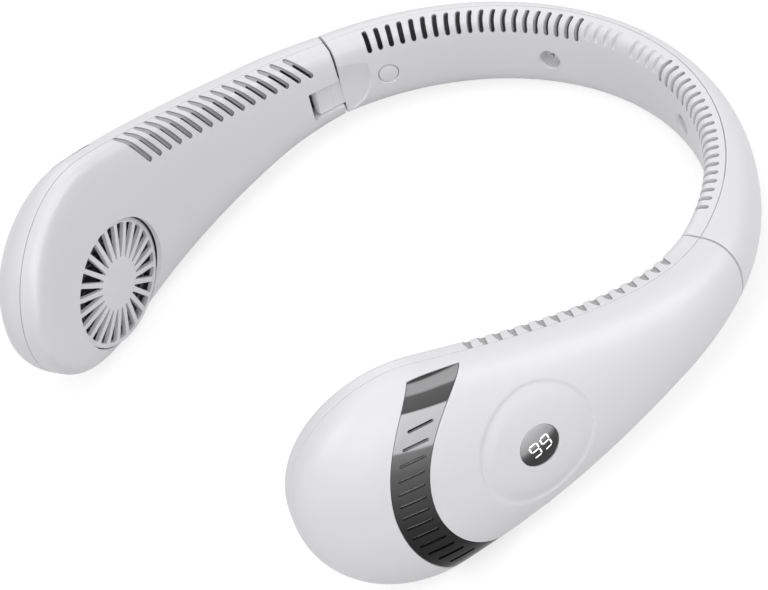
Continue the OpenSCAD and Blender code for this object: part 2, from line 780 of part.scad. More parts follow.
scroll_w = 5;             // start of the scroll wall
scroll_r = 15.8;          // radius where the scroll starts
scroll_grow = 8;          // growth of the scroll's radius
scroll_wall = 0.8;        // thickness of the scroll wall
scroll_from = 280;        // angle where the scroll starts
scroll_to = 80;           // angle where it opens into the arm's air channel
lug_r = 18.4;             // distance of the motor plate's screws from its middle
lug_angles = [50, 105, 170];
lug_size = 2.4;           // radius of the plate's lug, and of the posts that it stands on
thin_screw_r = 0.7;       // thread radius of a motor screw
thin_head_r = 1.3;        // head radius of a motor screw
thin_head_t = 0.8;        // head thickness of a motor screw
thin_long = 3.2;          // length of a motor screw's thread

function scroll_at(a) = scroll_r + scroll_grow * (scroll_from - a) / (scroll_from - scroll_to);
function spiral(extra) = [
    for (a = [scroll_from:-10:scroll_to]) (scroll_at(a) + extra) * [cos(a), sin(a)]
];
module at_lugs(w) {
    for (a = lug_angles)
        at_fan(w)
            translate([lug_r * cos(a), lug_r * sin(a), 0])
                children();
}
module scroll() {
    color(white_c)
        at_fan(scroll_w)
            linear_extrude(plate_w - fit_gap - scroll_w)
                polygon(concat(spiral(0), flip(spiral(scroll_wall))));
}
module motor_plate() {
    color(white_c)
        difference() {
            union() {
                at_fan(plate_w)
                    linear_extrude(plate_t)
                        union() {
                            circle(r = scroll_r + scroll_wall, $fn = facets);
                            polygon(concat([[0, 0]], spiral(scroll_wall)));
                        }
                at_lugs(plate_w)
                    cylinder(h = plate_t, r = lug_size, $fn = fine);
                at_fan(motor_w)
                    cylinder(h = plate_end - motor_w, r = bearing_r + boss_wall, $fn = fine);
            }
            at_fan(motor_w - over)
                cylinder(h = reach, r = bearing_r + fit_gap, $fn = fine);
            at_lugs(plate_w - over)
                cylinder(h = reach, r = thin_screw_r + line_gap, $fn = fine);
        }
}
module motor_screws() {
    color(steel_c)
        at_lugs(plate_w - thin_head_t) {
            cylinder(h = thin_head_t, r = thin_head_r, $fn = fine);
            cylinder(h = thin_head_t + thin_long, r = thin_screw_r, $fn = fine);
        }
}
// The posts reach from the plate into the wall of the outer shell
function lug_s(a) = -fan_s + lug_r * cos(a) * arm_inner_r / (arm_inner_r + bulb_t);
function lug_height(a) =
    (arm_inner_r + outer_u(lug_s(a), fan_z + lug_r * sin(a), wall / 2))
    * cos(deg((lug_s(a) + fan_s) / arm_inner_r)) - arm_inner_r;
module motor_posts() {
    for (a = lug_angles)
        at_fan(plate_end)
            translate([lug_r * cos(a), lug_r * sin(a), 0])
                difference() {
                    cylinder(h = lug_height(a) - plate_end, r = lug_size, $fn = fine);
                    translate([0, 0, -over])
                        cylinder(h = over + thin_long, r = thin_screw_r + fit_gap, $fn = fine);
                }
}

// Partition between the air channel and the battery, and the battery

part_u = 8.4;             // distance of the partition from the inner face
part_t = 1;               // thickness of the partition
part_half_share = 0.94;   // its half height, as a share of the space that it closes
part_from = fan_s - scroll_r - lug_size;          // its end beside the fan
part_to = notch_s - prong_t - gap;                // its end beside the hinge
battery_s = 22;           // middle of the battery along the arm
battery_l = 28;           // length of the battery
battery_h = 16;           // height of the battery
battery_t = 5.2;          // thickness of the battery
battery_round = 2;        // radius of its corners

module partition() {
    steps = 12;
    corners = [
        for (k = [0:steps])
            let (
                s = -part_from + (part_to + part_from) * k / steps,
                mid = arm_mid(s, wall),
                half = arm_half(s, wall) * part_half_share
            )
            each [
                place(s, part_u, mid - half), place(s, part_u + part_t, mid - half),
                place(s, part_u + part_t, mid + half), place(s, part_u, mid + half)
            ]
    ];
    end = 4 * steps;
    faces = concat(
        [for (k = [0:steps - 1], j = [0:3]) each
            let (a = 4 * k + j, b = 4 * k + (j + 1) % 4)
            [[a, b + 4, b], [a, a + 4, b + 4]]],
        [[0, 1, 2], [0, 2, 3], [end, end + 2, end + 1], [end, end + 3, end + 2]]
    );
    color(white_c)
        polyhedron(corners, faces);
}
module battery() {
    color(steel_c)
        at(-battery_s, part_u + part_t + gap, arm_mid(-battery_s))
            plate(battery_l, battery_h, battery_t, battery_round);
}

// Smoked strip with its cross slots, in a bed in the outer shell

strip_in_r = 28;            // inner radius of the smoked strip, about the disc
strip_w = 9.2;              // width of the smoked strip
strip_out_r = strip_in_r + strip_w;
strip_from_w = 9.2;         // distance of the strip's ends from the neck side
strip_t = 0.8;              // thickness of the smoked strip
strip_bed = 0.9;            // depth of its bed in the shell
vent_slots = 13;            // slots across the strip
vent_slot_w = 0.9;          // width of such a slot
vent_slot_l = 7.2;          // length of such a slot
vent_top_z = 24.9;          // height of the highest such slot
vent_low_z = -17.5;         // height of the lowest such slot
probe = 0.5;                // half the step on which the face's slope is measured
strip_stretch = (arm_inner_r + bulb_t) / arm_inner_r;

// The strip is an arc about the disc, measured along the arm's inner face
module strip_prism(r0, r1, w) {
    steps = 24;
    at(-disc_s, w, disc_z)
        linear_extrude(reach / 2)
            polygon(concat(
                [for (k = [0:steps]) let (a = 90 + 180 * k / steps)
                    r0 * [strip_stretch * cos(a), sin(a)]],
                [for (k = [steps:-1:0]) let (a = 90 + 180 * k / steps)
                    r1 * [strip_stretch * cos(a), sin(a)]]
            ));
}
module vent_slot_cuts() {
    mid_r = (strip_in_r + strip_out_r) / 2;
    for (k = [0:vent_slots - 1]) {
        z = vent_top_z + (vent_low_z - vent_top_z) * k / (vent_slots - 1);
        s = -disc_s - sqrt(mid_r ^ 2 - (z - disc_z) ^ 2);
        slope = (outer_u(s, z + probe) - outer_u(s, z - probe)) / (2 * probe);
        at(s, outer_u(s, z), z)
            rotate([atan(slope), 0, 0])
                translate([0, 0, -wall - over / 2])
                    slot(vent_slot_l, vent_slot_w, wall + over);
    }
}
module vent_strip() {
    color(smoke_c)
        difference() {
            intersection() {
                arm_outer_layer(0, strip_t);
                strip_prism(strip_in_r + line_gap, strip_out_r - line_gap, strip_from_w + line_gap);
            }
            vent_slot_cuts();
        }
}

// Display button in the right arm, on one axis with the disc

lens_gap = 0.25;            // gap round the lens
lens_dome = 0.6;            // rise of the lens's domed face
lens_low = 0.1;             // how far the lens's edge lies under the surface
flange_w = 0.8;             // width of the flange that holds the lens in
flange_t = 0.7;             // thickness of the flange
flange_room = 0.8;          // room in front of the flange at rest
flange_top = wall + flange_room;           // depth of the flange's front
flange_end = flange_top + flange_t;
lens_face_t = 1.1;          // thickness of the lens in front of the digits' window
window_r = 4.2;             // radius of the window inside the lens
digit_h = 4;                // height of a digit
digit_w = 2.5;              // width of a digit
digit_line = 0.45;          // width of a digit's strokes
digit_pitch = 3.5;          // distance between the two digits
digit_turn = 12;            // slant of the line of digits to the arm
board_w = 7.4;              // depth of the board's face
board_t = 1;                // thickness of the board
board_x = 13.4;             // width of the board
board_top_y = 7;            // height of the board's upper end over the lens's axis
board_dx = 0.4;             // place of the board's middle beside the lens's axis
module_x = 8;               // width of the digit module
module_y = 5;               // height of the digit module
module_t = 3.6;             // thickness of the digit module
switch_y = 5;               // distance of the switch from the lens's axis
switch_size = 3;            // width of the switch's body
switch_t = 2.6;             // thickness of the switch's body
plunger_r = 0.6;            // radius of the switch's plunger
plunger_in = 0.8;           // how deep the plunger reaches into the switch at rest
socket_x = 8.9;             // width of the charging socket
socket_h = 3.2;             // height of the socket
socket_l = 7.3;             // length of the socket
socket_wall = 0.3;          // wall of the socket
socket_tongue_t = 0.7;      // thickness of its contact tongue
socket_tongue_share = 0.7;  // length of the tongue, as a share of the socket's
socket_dx = -1.5;           // place of the socket beside the lens's axis
socket_out = 4.8;           // how far the socket stands out under the board
socket_room = 3.2;          // distance of the socket's mouth from the strip's inner edge
socket_hole_gap = 0.25;     // gap round the socket's mouth in the shell
socket_mouth_y = socket_room - strip_in_r;
board_low_y = socket_mouth_y + socket_out;      // height of the board's lower end
board_y = board_top_y - board_low_y;
board_dy = (board_top_y + board_low_y) / 2;
chip_size = 5;              // width of the control chip
chip_t = 1;                 // thickness of the control chip
coil_size = 4;              // width of the inductor
board_post_r = 1.3;         // radius of the posts that carry the board
board_posts = [[5.4, 4.6], [-4.6, -9], [5.4, -14]];   // places of those posts

module digit_nine() {
    x = digit_w - digit_line;
    y = (digit_h - digit_line) / 2;
    for (k = [-1, 0, 1])
        translate([0, k * y])
            square([digit_w, digit_line], center = true);
    translate([x / 2, 0])
        square([digit_line, digit_h], center = true);
    translate([-x / 2, y / 2])
        square([digit_line, y + digit_line], center = true);
}
module digit_prisms() {
    rotate([0, 0, digit_turn])
        for (k = [-1, 1])
            translate([k * digit_pitch / 2, 0, -lens_low])
                linear_extrude(over)
                    digit_nine();
}
module lens_cap() {
    ball = (lens_r ^ 2 + lens_dome ^ 2) / (2 * lens_dome);
    intersection() {
        translate([0, 0, -flange_end])
            cylinder(h = flange_end + lens_dome, r = lens_r, $fn = facets);
        translate([0, 0, lens_dome - lens_low - ball])
            sphere(r = ball, $fn = dome_facets);
    }
}
module display_lens() {
    color(dark_c)
        at_disc()
            difference() {
                union() {
                    lens_cap();
                    translate([0, 0, -flange_end])
                        cylinder(h = flange_t, r = lens_r + flange_w, $fn = facets);
                }
                translate([0, 0, -flange_end - over])
                    cylinder(h = over + flange_end - lens_face_t, r = window_r, $fn = facets);
                digit_prisms();
            }
}
module lit_digits() {
    color("white")
        at_disc()
            intersection() {
                lens_cap();
                digit_prisms();
            }
}
module switch_plunger() {
    top = -flange_end - fit_gap;
    low = -board_w + switch_t - plunger_in;
    color(dark_c)
        at_disc(low)
            translate([0, switch_y, 0])
                cylinder(h = top - low, r = plunger_r, $fn = fine);
}
module switch_body() {
    color(steel_c)
        at_disc(-board_w)
            translate([0, switch_y, 0])
                difference() {
                    plate(switch_size, switch_size, switch_t, gap);
                    translate([0, 0, switch_t - plunger_in - press_travel - line_gap])
                        cylinder(h = over, r = plunger_r + run_gap, $fn = fine);
                }
}
module digit_module() {
    color("white")
        at_disc(-board_w)
            plate(module_x, module_y, module_t, gap);
}
module control_board() {
    color(board_c)
        at_disc(-board_w - board_t)
            translate([board_dx, board_dy, 0]) {
                plate(board_x, board_y, board_t, gap);
                translate([-board_x / 4, 0, -chip_t])
                    plate(chip_size, chip_size, chip_t + board_t / 2, gap);
                translate([board_x / 4, board_y / 4, -2 * chip_t])
                    plate(coil_size, coil_size, 2 * chip_t + board_t / 2, gap);
            }
}

// Charging socket on the inner side of the board, its mouth in the arm's lower edge

// Turns local Z into the socket's length, from its mouth upwards
module at_socket(y) {
    at_disc(-board_w - board_t - socket_h / 2)
        translate([socket_dx, y, 0])
            rotate([-90, 0, 0])
                children();
}
module charging_socket() {
    r = socket_h / 2;
    x = socket_x - 2 * socket_wall;
    h = socket_h - 2 * socket_wall;
    color(steel_c)
        at_socket(socket_mouth_y) {
            difference() {
                slot(socket_x, socket_h, socket_l);
                translate([0, 0, -over])
                    slot(x, h, over + socket_l - socket_wall);
            }
            translate([0, 0, socket_l * (1 - socket_tongue_share)])
                linear_extrude(socket_l * socket_tongue_share)
                    square([x - h, socket_tongue_t], center = true);
        }
}
module socket_hole() {
    at_socket(socket_mouth_y - over)
        slot(socket_x + 2 * socket_hole_gap, socket_h + 2 * socket_hole_gap, over + socket_l);
}

// Shells of an arm

ring_w = 1.8;               // width of the groove round the disc
ring_deep = 0.3;            // depth of that groove

module arm_inner_shell() {
    color(white_c)
        difference() {
            union() {
                arm_inner_layer(0, wall);
                prongs();
            }
            at_fan(-over)
                cylinder(h = over + grille_end + line_gap, r = grille_r + gap, $fn = facets);
            at_fan(-over)
                cylinder(h = 3 * over, r = grille_r - ledge, $fn = facets);
            arm_slot_row(groove_share, slot_w);
            intersection() {
                arm_inner_layer(-over, groove_deep);
                arm_slot_row(0, groove_w);
            }
            curved_block(notch_s, hinge_s + over, -over, notch_u, notch_low, notch_top);
            on_pin(pin_low)
                cylinder(h = pin_top - pin_low + over, r = pin_r + fit_gap, $fn = facets);
            translate([0, 0, -reach / 2])
                linear_extrude(reach)
                    polygon([
                        plan(arm_end_s - edge_cut, 0),
                        plan(arm_end_s + over, edge_cut + over),
                        plan(arm_end_s + over, -over),
                        plan(arm_end_s - edge_cut - over, -over)
                    ]);
        }
}
module arm_outer_form() {
    difference() {
        union() {
            arm_outer_layer(0, wall);
            motor_posts();
        }
        intersection() {
            arm_outer_layer(-over, strip_bed);
            strip_prism(strip_in_r, strip_out_r, strip_from_w);
        }
        intersection() {
            arm_outer_layer(-over, ring_deep);
            at(-disc_s, bulb_t / 2, disc_z)
                tube(disc_r - ring_w, disc_r, bulb_t);
        }
        vent_slot_cuts();
    }
}
module left_arm_outer() {
    color(white_c)
        arm_outer_form();
}
module right_arm_outer() {
    color(white_c)
        difference() {
            union() {
                arm_outer_form();
                for (p = board_posts)
                    at_disc(-board_w + fit_gap)
                        translate([p[0], p[1], 0])
                            cylinder(h = board_w - fit_gap - wall * root_share, r = board_post_r, $fn = fine);
            }
            at_disc(-wall - over)
                cylinder(h = wall + 2 * over, r = lens_r + lens_gap, $fn = facets);
            socket_hole();
        }
}

above_rest() right() band_inner_shell();
above_rest() right() band_outer_shell();
right() band_screws();
right() screw_caps();
above_rest() right() arm_inner_shell();  // right_arm_inner_shell
above_rest() left() arm_inner_shell();  // left_arm_inner_shell
above_rest() right() right_arm_outer();  // right_arm_outer_shell
above_rest() left() left_arm_outer();  // left_arm_outer_shell
right() hinge_pin();  // right_hinge_pin
left() hinge_pin();  // left_hinge_pin
right() grille();  // right_grille
left() grille();  // left_grille
above_rest() right() vent_strip();  // right_vent_strip
above_rest() left() vent_strip();  // left_vent_strip
right() fan_wheel();  // right_fan_wheel
left() fan_wheel();  // left_fan_wheel
right() magnet_ring();  // right_magnet_ring
left() magnet_ring();  // left_magnet_ring
right() motor_shaft();  // right_motor_shaft
left() motor_shaft();  // left_motor_shaft
right() bearing();  // right_bearing
left() bearing();  // left_bearing
right() stator();  // right_stator
left() stator();  // left_stator
right() coils();  // right_coils
left() coils();  // left_coils
right() motor_plate();  // right_motor_plate
left() motor_plate();  // left_motor_plate
right() motor_screws();  // right_motor_screws
left() motor_screws();  // left_motor_screws
right() scroll();  // right_scroll
left() scroll();  // left_scroll
right() partition();  // right_partition
left() partition();  // left_partition
right() battery();  // right_battery
left() battery();  // left_battery
right() display_lens();
right() lit_digits();
right() switch_plunger();
right() switch_body();
right() digit_module();
right() control_board();
right() charging_socket();
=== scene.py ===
import bpy
import bmesh
import numpy as np
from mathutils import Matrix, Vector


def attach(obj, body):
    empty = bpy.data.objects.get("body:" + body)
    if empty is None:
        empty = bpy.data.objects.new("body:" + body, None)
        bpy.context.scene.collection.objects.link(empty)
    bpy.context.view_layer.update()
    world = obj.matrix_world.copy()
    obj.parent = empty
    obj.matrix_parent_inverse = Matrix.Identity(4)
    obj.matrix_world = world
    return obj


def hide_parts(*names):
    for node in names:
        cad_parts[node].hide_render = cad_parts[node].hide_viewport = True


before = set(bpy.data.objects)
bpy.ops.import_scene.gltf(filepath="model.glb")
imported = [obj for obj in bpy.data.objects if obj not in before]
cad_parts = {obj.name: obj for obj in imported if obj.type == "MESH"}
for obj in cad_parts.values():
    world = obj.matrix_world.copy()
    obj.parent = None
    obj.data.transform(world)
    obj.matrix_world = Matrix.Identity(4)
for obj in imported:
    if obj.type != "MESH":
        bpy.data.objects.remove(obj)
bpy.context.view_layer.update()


# Arm housings
# Each arm is a hollow teardrop of white moulded plastic, split along its edge into a shell on
# the neck side and a shell on the outer side. Both are injection moulded and snap together.
# The sizes are the part's own, in millimetres, in a frame whose Z axis is the band's.

# Radii of the neck side behind and in front of the part's widest place, where s is 0. The bulb's
# middle is BULB_S in front of it, the hinge HINGE_S behind it and the display DISC_S in front
BAND_R, ARM_R = 72.0, 230.0
HINGE_S, BULB_S, BULB_R, BULB_Z = 24.0, 72.0, 31.0, 3.9
DISC_S, DISC_Z = 44.5, 4.0
# Thickness at the hinge, at the back of the neck and at the bulb, and the band's edges
HINGE_T, BACK_T, BULB_T = 16.8, 11.5, 21.5
BAND_TOP, BAND_LOW = 11.0, 12.4
# Distance of the parting line from the neck side, and the gaps there and at the arm's end
SEAM, SEAM_GAP, END_GAP, WALL = 6.5, 0.15, 0.3, 1.6
ARM_END = HINGE_S - END_GAP
OUTER_START = SEAM + SEAM_GAP
# Slopes of the arm's edges at the hinge, and where the upper and the lower one meet the bulb
HINGE_SLOPE, TOP_SLOPE, LOW_SLOPE = 0.1, 0.28, 0.16
# The outer face leans in about the height LEAN_Z, and fully from LEAN_S on. The neck side has
# only LEAST_LEAN of it and the parting line SEAM_LEAN
LEAN, LEAN_S, LEAN_Z, LEAST_LEAN, SEAM_LEAN = 0.11, 45, 8, 0.15, 0.575
# Powers of the superellipses of the outer and the inner section, and of the tip they close to
OUTER_N, INNER_N, OUTER_TIP_N, INNER_TIP_N = 2.3, 5, 2.4, 6
# Radius of the moulded edges, and the distances from an edge at which their curve has a point
EDGE_R = 0.22
RIM = np.array([0, 0.02, 0.05, 0.1, 0.16, 0.22, 0.4])


def about_x(a):
    """Matrix of a turn about X by the angle a, which lowers the +Y end."""
    return np.array([[1, 0, 0], [0, np.cos(a), np.sin(a)], [0, -np.sin(a), np.cos(a)]])


# At rest the band's lower edge and both bulbs lie on the floor, the part sunk REST_FLAT into it,
# and the part stands in the middle of its place
rest_y = (BAND_R + SEAM) + (ARM_R + SEAM) * np.sin(BULB_S / ARM_R)
rest_z = BAND_LOW + BULB_Z
TILT = np.arcsin(BULB_R / np.hypot(rest_y, rest_z)) - np.arctan(rest_z / rest_y)
REST_FLAT, SHIFT = 0.3, 10.074037
LIFT = (BAND_R + SEAM) * np.sin(TILT) + BAND_LOW * np.cos(TILT) - REST_FLAT
LEAN_BACK = about_x(TILT)


def at_rest(points):
    """From the band's own frame in millimetres to the row frame in metres: the part leans back
    by TILT about X, then moves until it lies on the floor."""
    return (np.asarray(points, float) @ LEAN_BACK.T + [0, SHIFT, LIFT]) / 1000


def place(s, u, z):
    """A point s along the inner face, u outwards from it and z up: the face is an arc of radius
    BAND_R behind the arm's widest place and one of radius ARM_R in front of it."""
    r = np.where(s > 0, BAND_R, ARM_R)
    x = BAND_R - r + (r + u) * np.cos(s / r)
    y = (r + u) * np.sin(s / r)
    return np.stack(np.broadcast_arrays(x, y, z), -1)


def edge_height(s, d, slope, z0):
    """Height of an edge over the bulb's middle: a cubic from z0 at the hinge that runs into the
    bulb's circle, of radius BULB_R - d, where that has the given slope."""
    turn = np.arctan(slope)
    s1 = -BULB_S + BULB_R * np.sin(turn)
    long = HINGE_S - s1
    t = np.clip((HINGE_S - s) / long, 0, 1)
    cubic = ((2 * t**3 - 3 * t**2 + 1) * z0 + (t**3 - 2 * t**2 + t) * long * HINGE_SLOPE
             + (3 * t**2 - 2 * t**3) * BULB_R * np.cos(turn) + (t**3 - t**2) * long * slope)
    circle = np.sqrt(np.maximum((BULB_R - d) ** 2 - (s + BULB_S) ** 2, 0))
    return np.where(s > s1, cubic - d, circle)


def arm_edges(s, d=0.0):
    """Top and bottom height of the arm at s, d under its skin."""
    top = BULB_Z + edge_height(s, d, TOP_SLOPE, BAND_TOP - BULB_Z)
    low = BULB_Z - edge_height(s, d, LOW_SLOPE, BAND_LOW + BULB_Z)
    return top, low


def arm_thickness(s):
    """Thickness grows from the hinge to the bulb, a little faster at first."""
    q = np.clip((HINGE_S - s) / (HINGE_S + BULB_S), 0, 1)
    return HINGE_T + (BULB_T - HINGE_T) * (1.35 * q - 0.35 * q**2)


def arm_lean(s):
    """Inward lean of the outer face, which eases in between the hinge and LEAN_S in front of it."""
    q = np.clip((HINGE_S - s) / (HINGE_S + LEAN_S), 0, 1)
    return LEAN * q * q * (3 - 2 * q)


def tip_close(s, d, n):
    """How far the section has closed towards the tip, on a superellipse of power n."""
    return (1 - np.clip((-BULB_S - s) / (BULB_R - d), 0, 1) ** n) ** (1 / n)


def section_u(outer, s, x, z, d):
    """Distance from the neck side of a point d under the skin, at the height z: x runs from the
    parting line (0) to the middle of the outer face or of the neck side (1)."""
    close = tip_close(s, d, OUTER_TIP_N if outer else INNER_TIP_N)
    if outer:
        u = OUTER_START + (arm_thickness(s) - d - OUTER_START) * x * close
        side = (x * close) ** 1.15
    else:
        u = SEAM - (SEAM - d) * x * close
        side = -((x * close) ** 2.5)
    lean_part = LEAST_LEAN + (1 - LEAST_LEAN) * (1 + side) / 2
    return u - arm_lean(s) * lean_part * (z - LEAN_Z)


def arm_point(outer, s, x, y, d):
    """A point of the arm d under its skin. x and y lie on the section's superellipse, y from the
    top (1) to the bottom (-1)."""
    top, low = arm_edges(s, d)
    z = (top + low) / 2 + (top - low) / 2 * y
    return place(s, section_u(outer, s, x, z, d), z)


def outer_face(s, z):
    """Distance of the arm's outer face from the neck side at s and at the height z."""
    top, low = arm_edges(s)
    q = np.clip(abs(z - (top + low) / 2) / ((top - low) / 2), 0, 1)
    return section_u(True, s, (1 - q**OUTER_N) ** (1 / OUTER_N), z, 0.0)


def half_section(n, wide, high, count):
    """Points of the superellipse |x|^n + |y|^n = 1 from the upper edge (0, 1) over (1, 0) to the
    lower one, evenly spaced as drawn wide by high, with a few more close to the edges. Returns
    x, y and the distance from the nearer edge."""
    t = np.linspace(0, np.pi / 2, 6001)
    x, y = np.sin(t) ** (2 / n), np.cos(t) ** (2 / n)
    way = np.concatenate([[0], np.cumsum(np.hypot(np.diff(x) * wide, np.diff(y) * high))])
    stops = np.concatenate([RIM, np.linspace(RIM[-1], way[-1], count)[1:]])
    x, y = np.interp(stops, way, x), np.interp(stops, way, y)
    return (np.concatenate([x, x[-2::-1]]), np.concatenate([y, -y[-2::-1]]),
            np.concatenate([stops, stops[-2::-1]]))


def rounded(t, r):
    """Depth under the skin at the distance t from an edge that is rounded to the radius r."""
    return r - np.sqrt(r * r - np.clip(r - t, 0, r) ** 2)


def soft_step(t):
    """0 below 0, 1 above 1, and a smooth rise between them."""
    t = np.clip(t, 0, 1)
    return t * t * (3 - 2 * t)


def quads(rows, cols, start=0, close=False):
    """Faces of a grid of rows by cols points, closed round its columns if asked."""
    k = np.arange(rows * cols).reshape(rows, cols) + start
    if close:
        k = np.concatenate([k, k[:, :1]], 1)
    return np.stack([k[:-1, :-1], k[1:, :-1], k[1:, 1:], k[:-1, 1:]], -1).reshape(-1, 4)


def mesh_of(name, points, faces, materials=(), index=None):
    """A mesh object from points in millimetres: doubles merged, faces turned outwards."""
    mesh = bpy.data.meshes.new(name)
    points = np.asarray(points, float).reshape(-1, 3).tolist()
    mesh.from_pydata(points, [], [list(f) for f in faces])
    for m in materials:
        mesh.materials.append(m)
    if index is not None:
        mesh.polygons.foreach_set("material_index", np.asarray(index, np.int32))
    bm = bmesh.new()
    bm.from_mesh(mesh)
    bmesh.ops.remove_doubles(bm, verts=bm.verts, dist=1e-5)
    bmesh.ops.dissolve_degenerate(bm, edges=bm.edges, dist=1e-6)
    bmesh.ops.recalc_face_normals(bm, faces=bm.faces)
    bm.to_mesh(mesh)
    bm.free()
    piece = bpy.data.objects.new(name, mesh)
    bpy.context.scene.collection.objects.link(piece)
    return piece


def wall_faces(rows, cols):
    """Faces of a closed wall between two grids of rows by cols points: those of the first grid,
    those of the second, turned over, and those that join their rims."""
    size = rows * cols
    k = np.arange(size).reshape(rows, cols)
    rim = np.concatenate([k[0], k[1:, -1], k[-1, -2::-1], k[-2:0:-1, 0]])
    side = np.stack([rim, np.roll(rim, -1), np.roll(rim, -1) + size, rim + size], -1)
    return quads(rows, cols), quads(rows, cols, size)[:, ::-1], side


def walled(name, skin, inside, materials):
    """A closed shell from two grids of points of one size: the skin, and the inside of its wall,
    joined round their rims. The inside takes the second material."""
    a, b, side = wall_faces(*skin.shape[:2])
    index = np.concatenate([np.zeros(len(a)), np.ones(len(b)), np.zeros(len(side))])
    return mesh_of(name, np.concatenate([skin.reshape(-1, 3), inside.reshape(-1, 3)]),
                   np.concatenate([a, b, side]), materials, index)


def prism(outline, origin, axes, low, high):
    """A solid whose section is the closed outline, in the first two axes at origin, and which
    runs along the third from low to high."""
    outline = np.asarray(outline, float)
    n = len(outline)
    ends = [origin + outline @ axes[:2] + h * axes[2] for h in (low, high)]
    k = np.arange(n)
    j = np.roll(k, -1)
    faces = [[*k[::-1]], [*(k + n)]] + np.stack([k, j, j + n, k + n], -1).tolist()
    return np.concatenate(ends), faces


def turned(profile, origin, axes, count=96):
    """A solid of revolution about the third axis at origin: the profile holds radius and height
    and starts and ends on the axis."""
    profile = np.asarray(profile, float)
    a = np.linspace(0, 2 * np.pi, count, endpoint=False)
    ray = np.cos(a)[:, None] * axes[0] + np.sin(a)[:, None] * axes[1]
    ring = profile[1:-1]
    points = origin + ring[:, None, :1] * ray + ring[:, None, 1:] * axes[2]
    poles = origin + profile[[0, -1], 1:] * axes[2]
    faces = quads(len(ring), count, 0, close=True).tolist()
    k = np.arange(count)
    j = np.roll(k, -1)
    end = len(ring) * count
    faces += np.stack([j, k, k * 0 + end], -1).tolist()
    faces += np.stack([k + end - count, j + end - count, k * 0 + end + 1], -1).tolist()
    return np.concatenate([points.reshape(-1, 3), poles]), faces


def rod(r, low, high, origin, axes):
    """A round rod along the third axis, which serves as a cutter or as a blank."""
    return turned([(0, low), (r, low), (r, high), (0, high)], origin, axes)


def joined(solids):
    """The points and faces of several solids as those of one."""
    points, faces, start = [], [], 0
    for p, f in solids:
        points.append(p)
        faces += [[i + start for i in g] for g in f]
        start += len(p)
    return np.concatenate(points), faces


def cut(piece, solids, operation="DIFFERENCE", lining=0):
    """The piece after a boolean with solids that don't touch each other, each given as its points
    and faces. The new faces take the piece's material number lining."""
    points, faces = joined(solids)
    tool = mesh_of("tool", points, faces, list(piece.data.materials), np.full(len(faces), lining))
    step = piece.modifiers.new("cut", "BOOLEAN")
    step.operation, step.object, step.solver = operation, tool, "MANIFOLD"
    done = bpy.data.meshes.new_from_object(
        piece.evaluated_get(bpy.context.evaluated_depsgraph_get()))
    piece.modifiers.clear()
    old, piece.data = piece.data, done
    bpy.data.meshes.remove(old)
    bpy.data.meshes.remove(tool.data)
    return piece


def points_of(mesh):
    """The mesh's points, one a row."""
    points = np.empty(len(mesh.vertices) * 3)
    mesh.vertices.foreach_get("co", points)
    return points.reshape(-1, 3)


def solid_of(piece):
    """The points and faces of a helper piece, which is then removed."""
    mesh = piece.data
    solid = (points_of(mesh), [list(p.vertices) for p in mesh.polygons])
    bpy.data.meshes.remove(mesh)
    return solid


def slot_outline(length, width):
    """A slot with round ends, long along the first axis."""
    a = np.linspace(-np.pi / 2, np.pi / 2, 9)
    end = np.stack([np.cos(a), np.sin(a)], -1) * width / 2
    half = np.array([(length - width) / 2, 0])
    return np.concatenate([end + half, -end - half])


def edge_slot(p, q, face, width, below, above):
    """A cutter for a slot from p to q that is sunk against the direction face."""
    long = np.linalg.norm(q - p)
    along = (q - p) / long
    up = face - (face @ along) * along
    up /= np.linalg.norm(up)
    axes = np.array([along, np.cross(up, along), up])
    return prism(slot_outline(long + width, width), (p + q) / 2, axes, -below, above)


def frame_at(s, u, z):
    """Origin and axes of a place on the arm: along it to the hinge, up, and outwards."""
    a = s / ARM_R
    axes = np.array([[-np.sin(a), np.cos(a), 0], [0, 0, 1], [np.cos(a), np.sin(a), 0]])
    return place(s, u, z), axes


def curved_block(s0, s1, u0, u1, z0, z1):
    """A block that follows the inner face from s0 to s1."""
    s = np.linspace(s0, s1, 9)
    outline = np.concatenate([place(s, u0, 0.0)[:, :2], place(s[::-1], u1, 0.0)[:, :2]])
    return prism(outline, np.zeros(3), np.eye(3), z0, z1)


def ball_radius(reach, rise):
    """Radius of the ball that a dome is cut from, when it rises by rise over a rim of the radius
    reach."""
    return (reach**2 + rise**2) / (2 * rise)


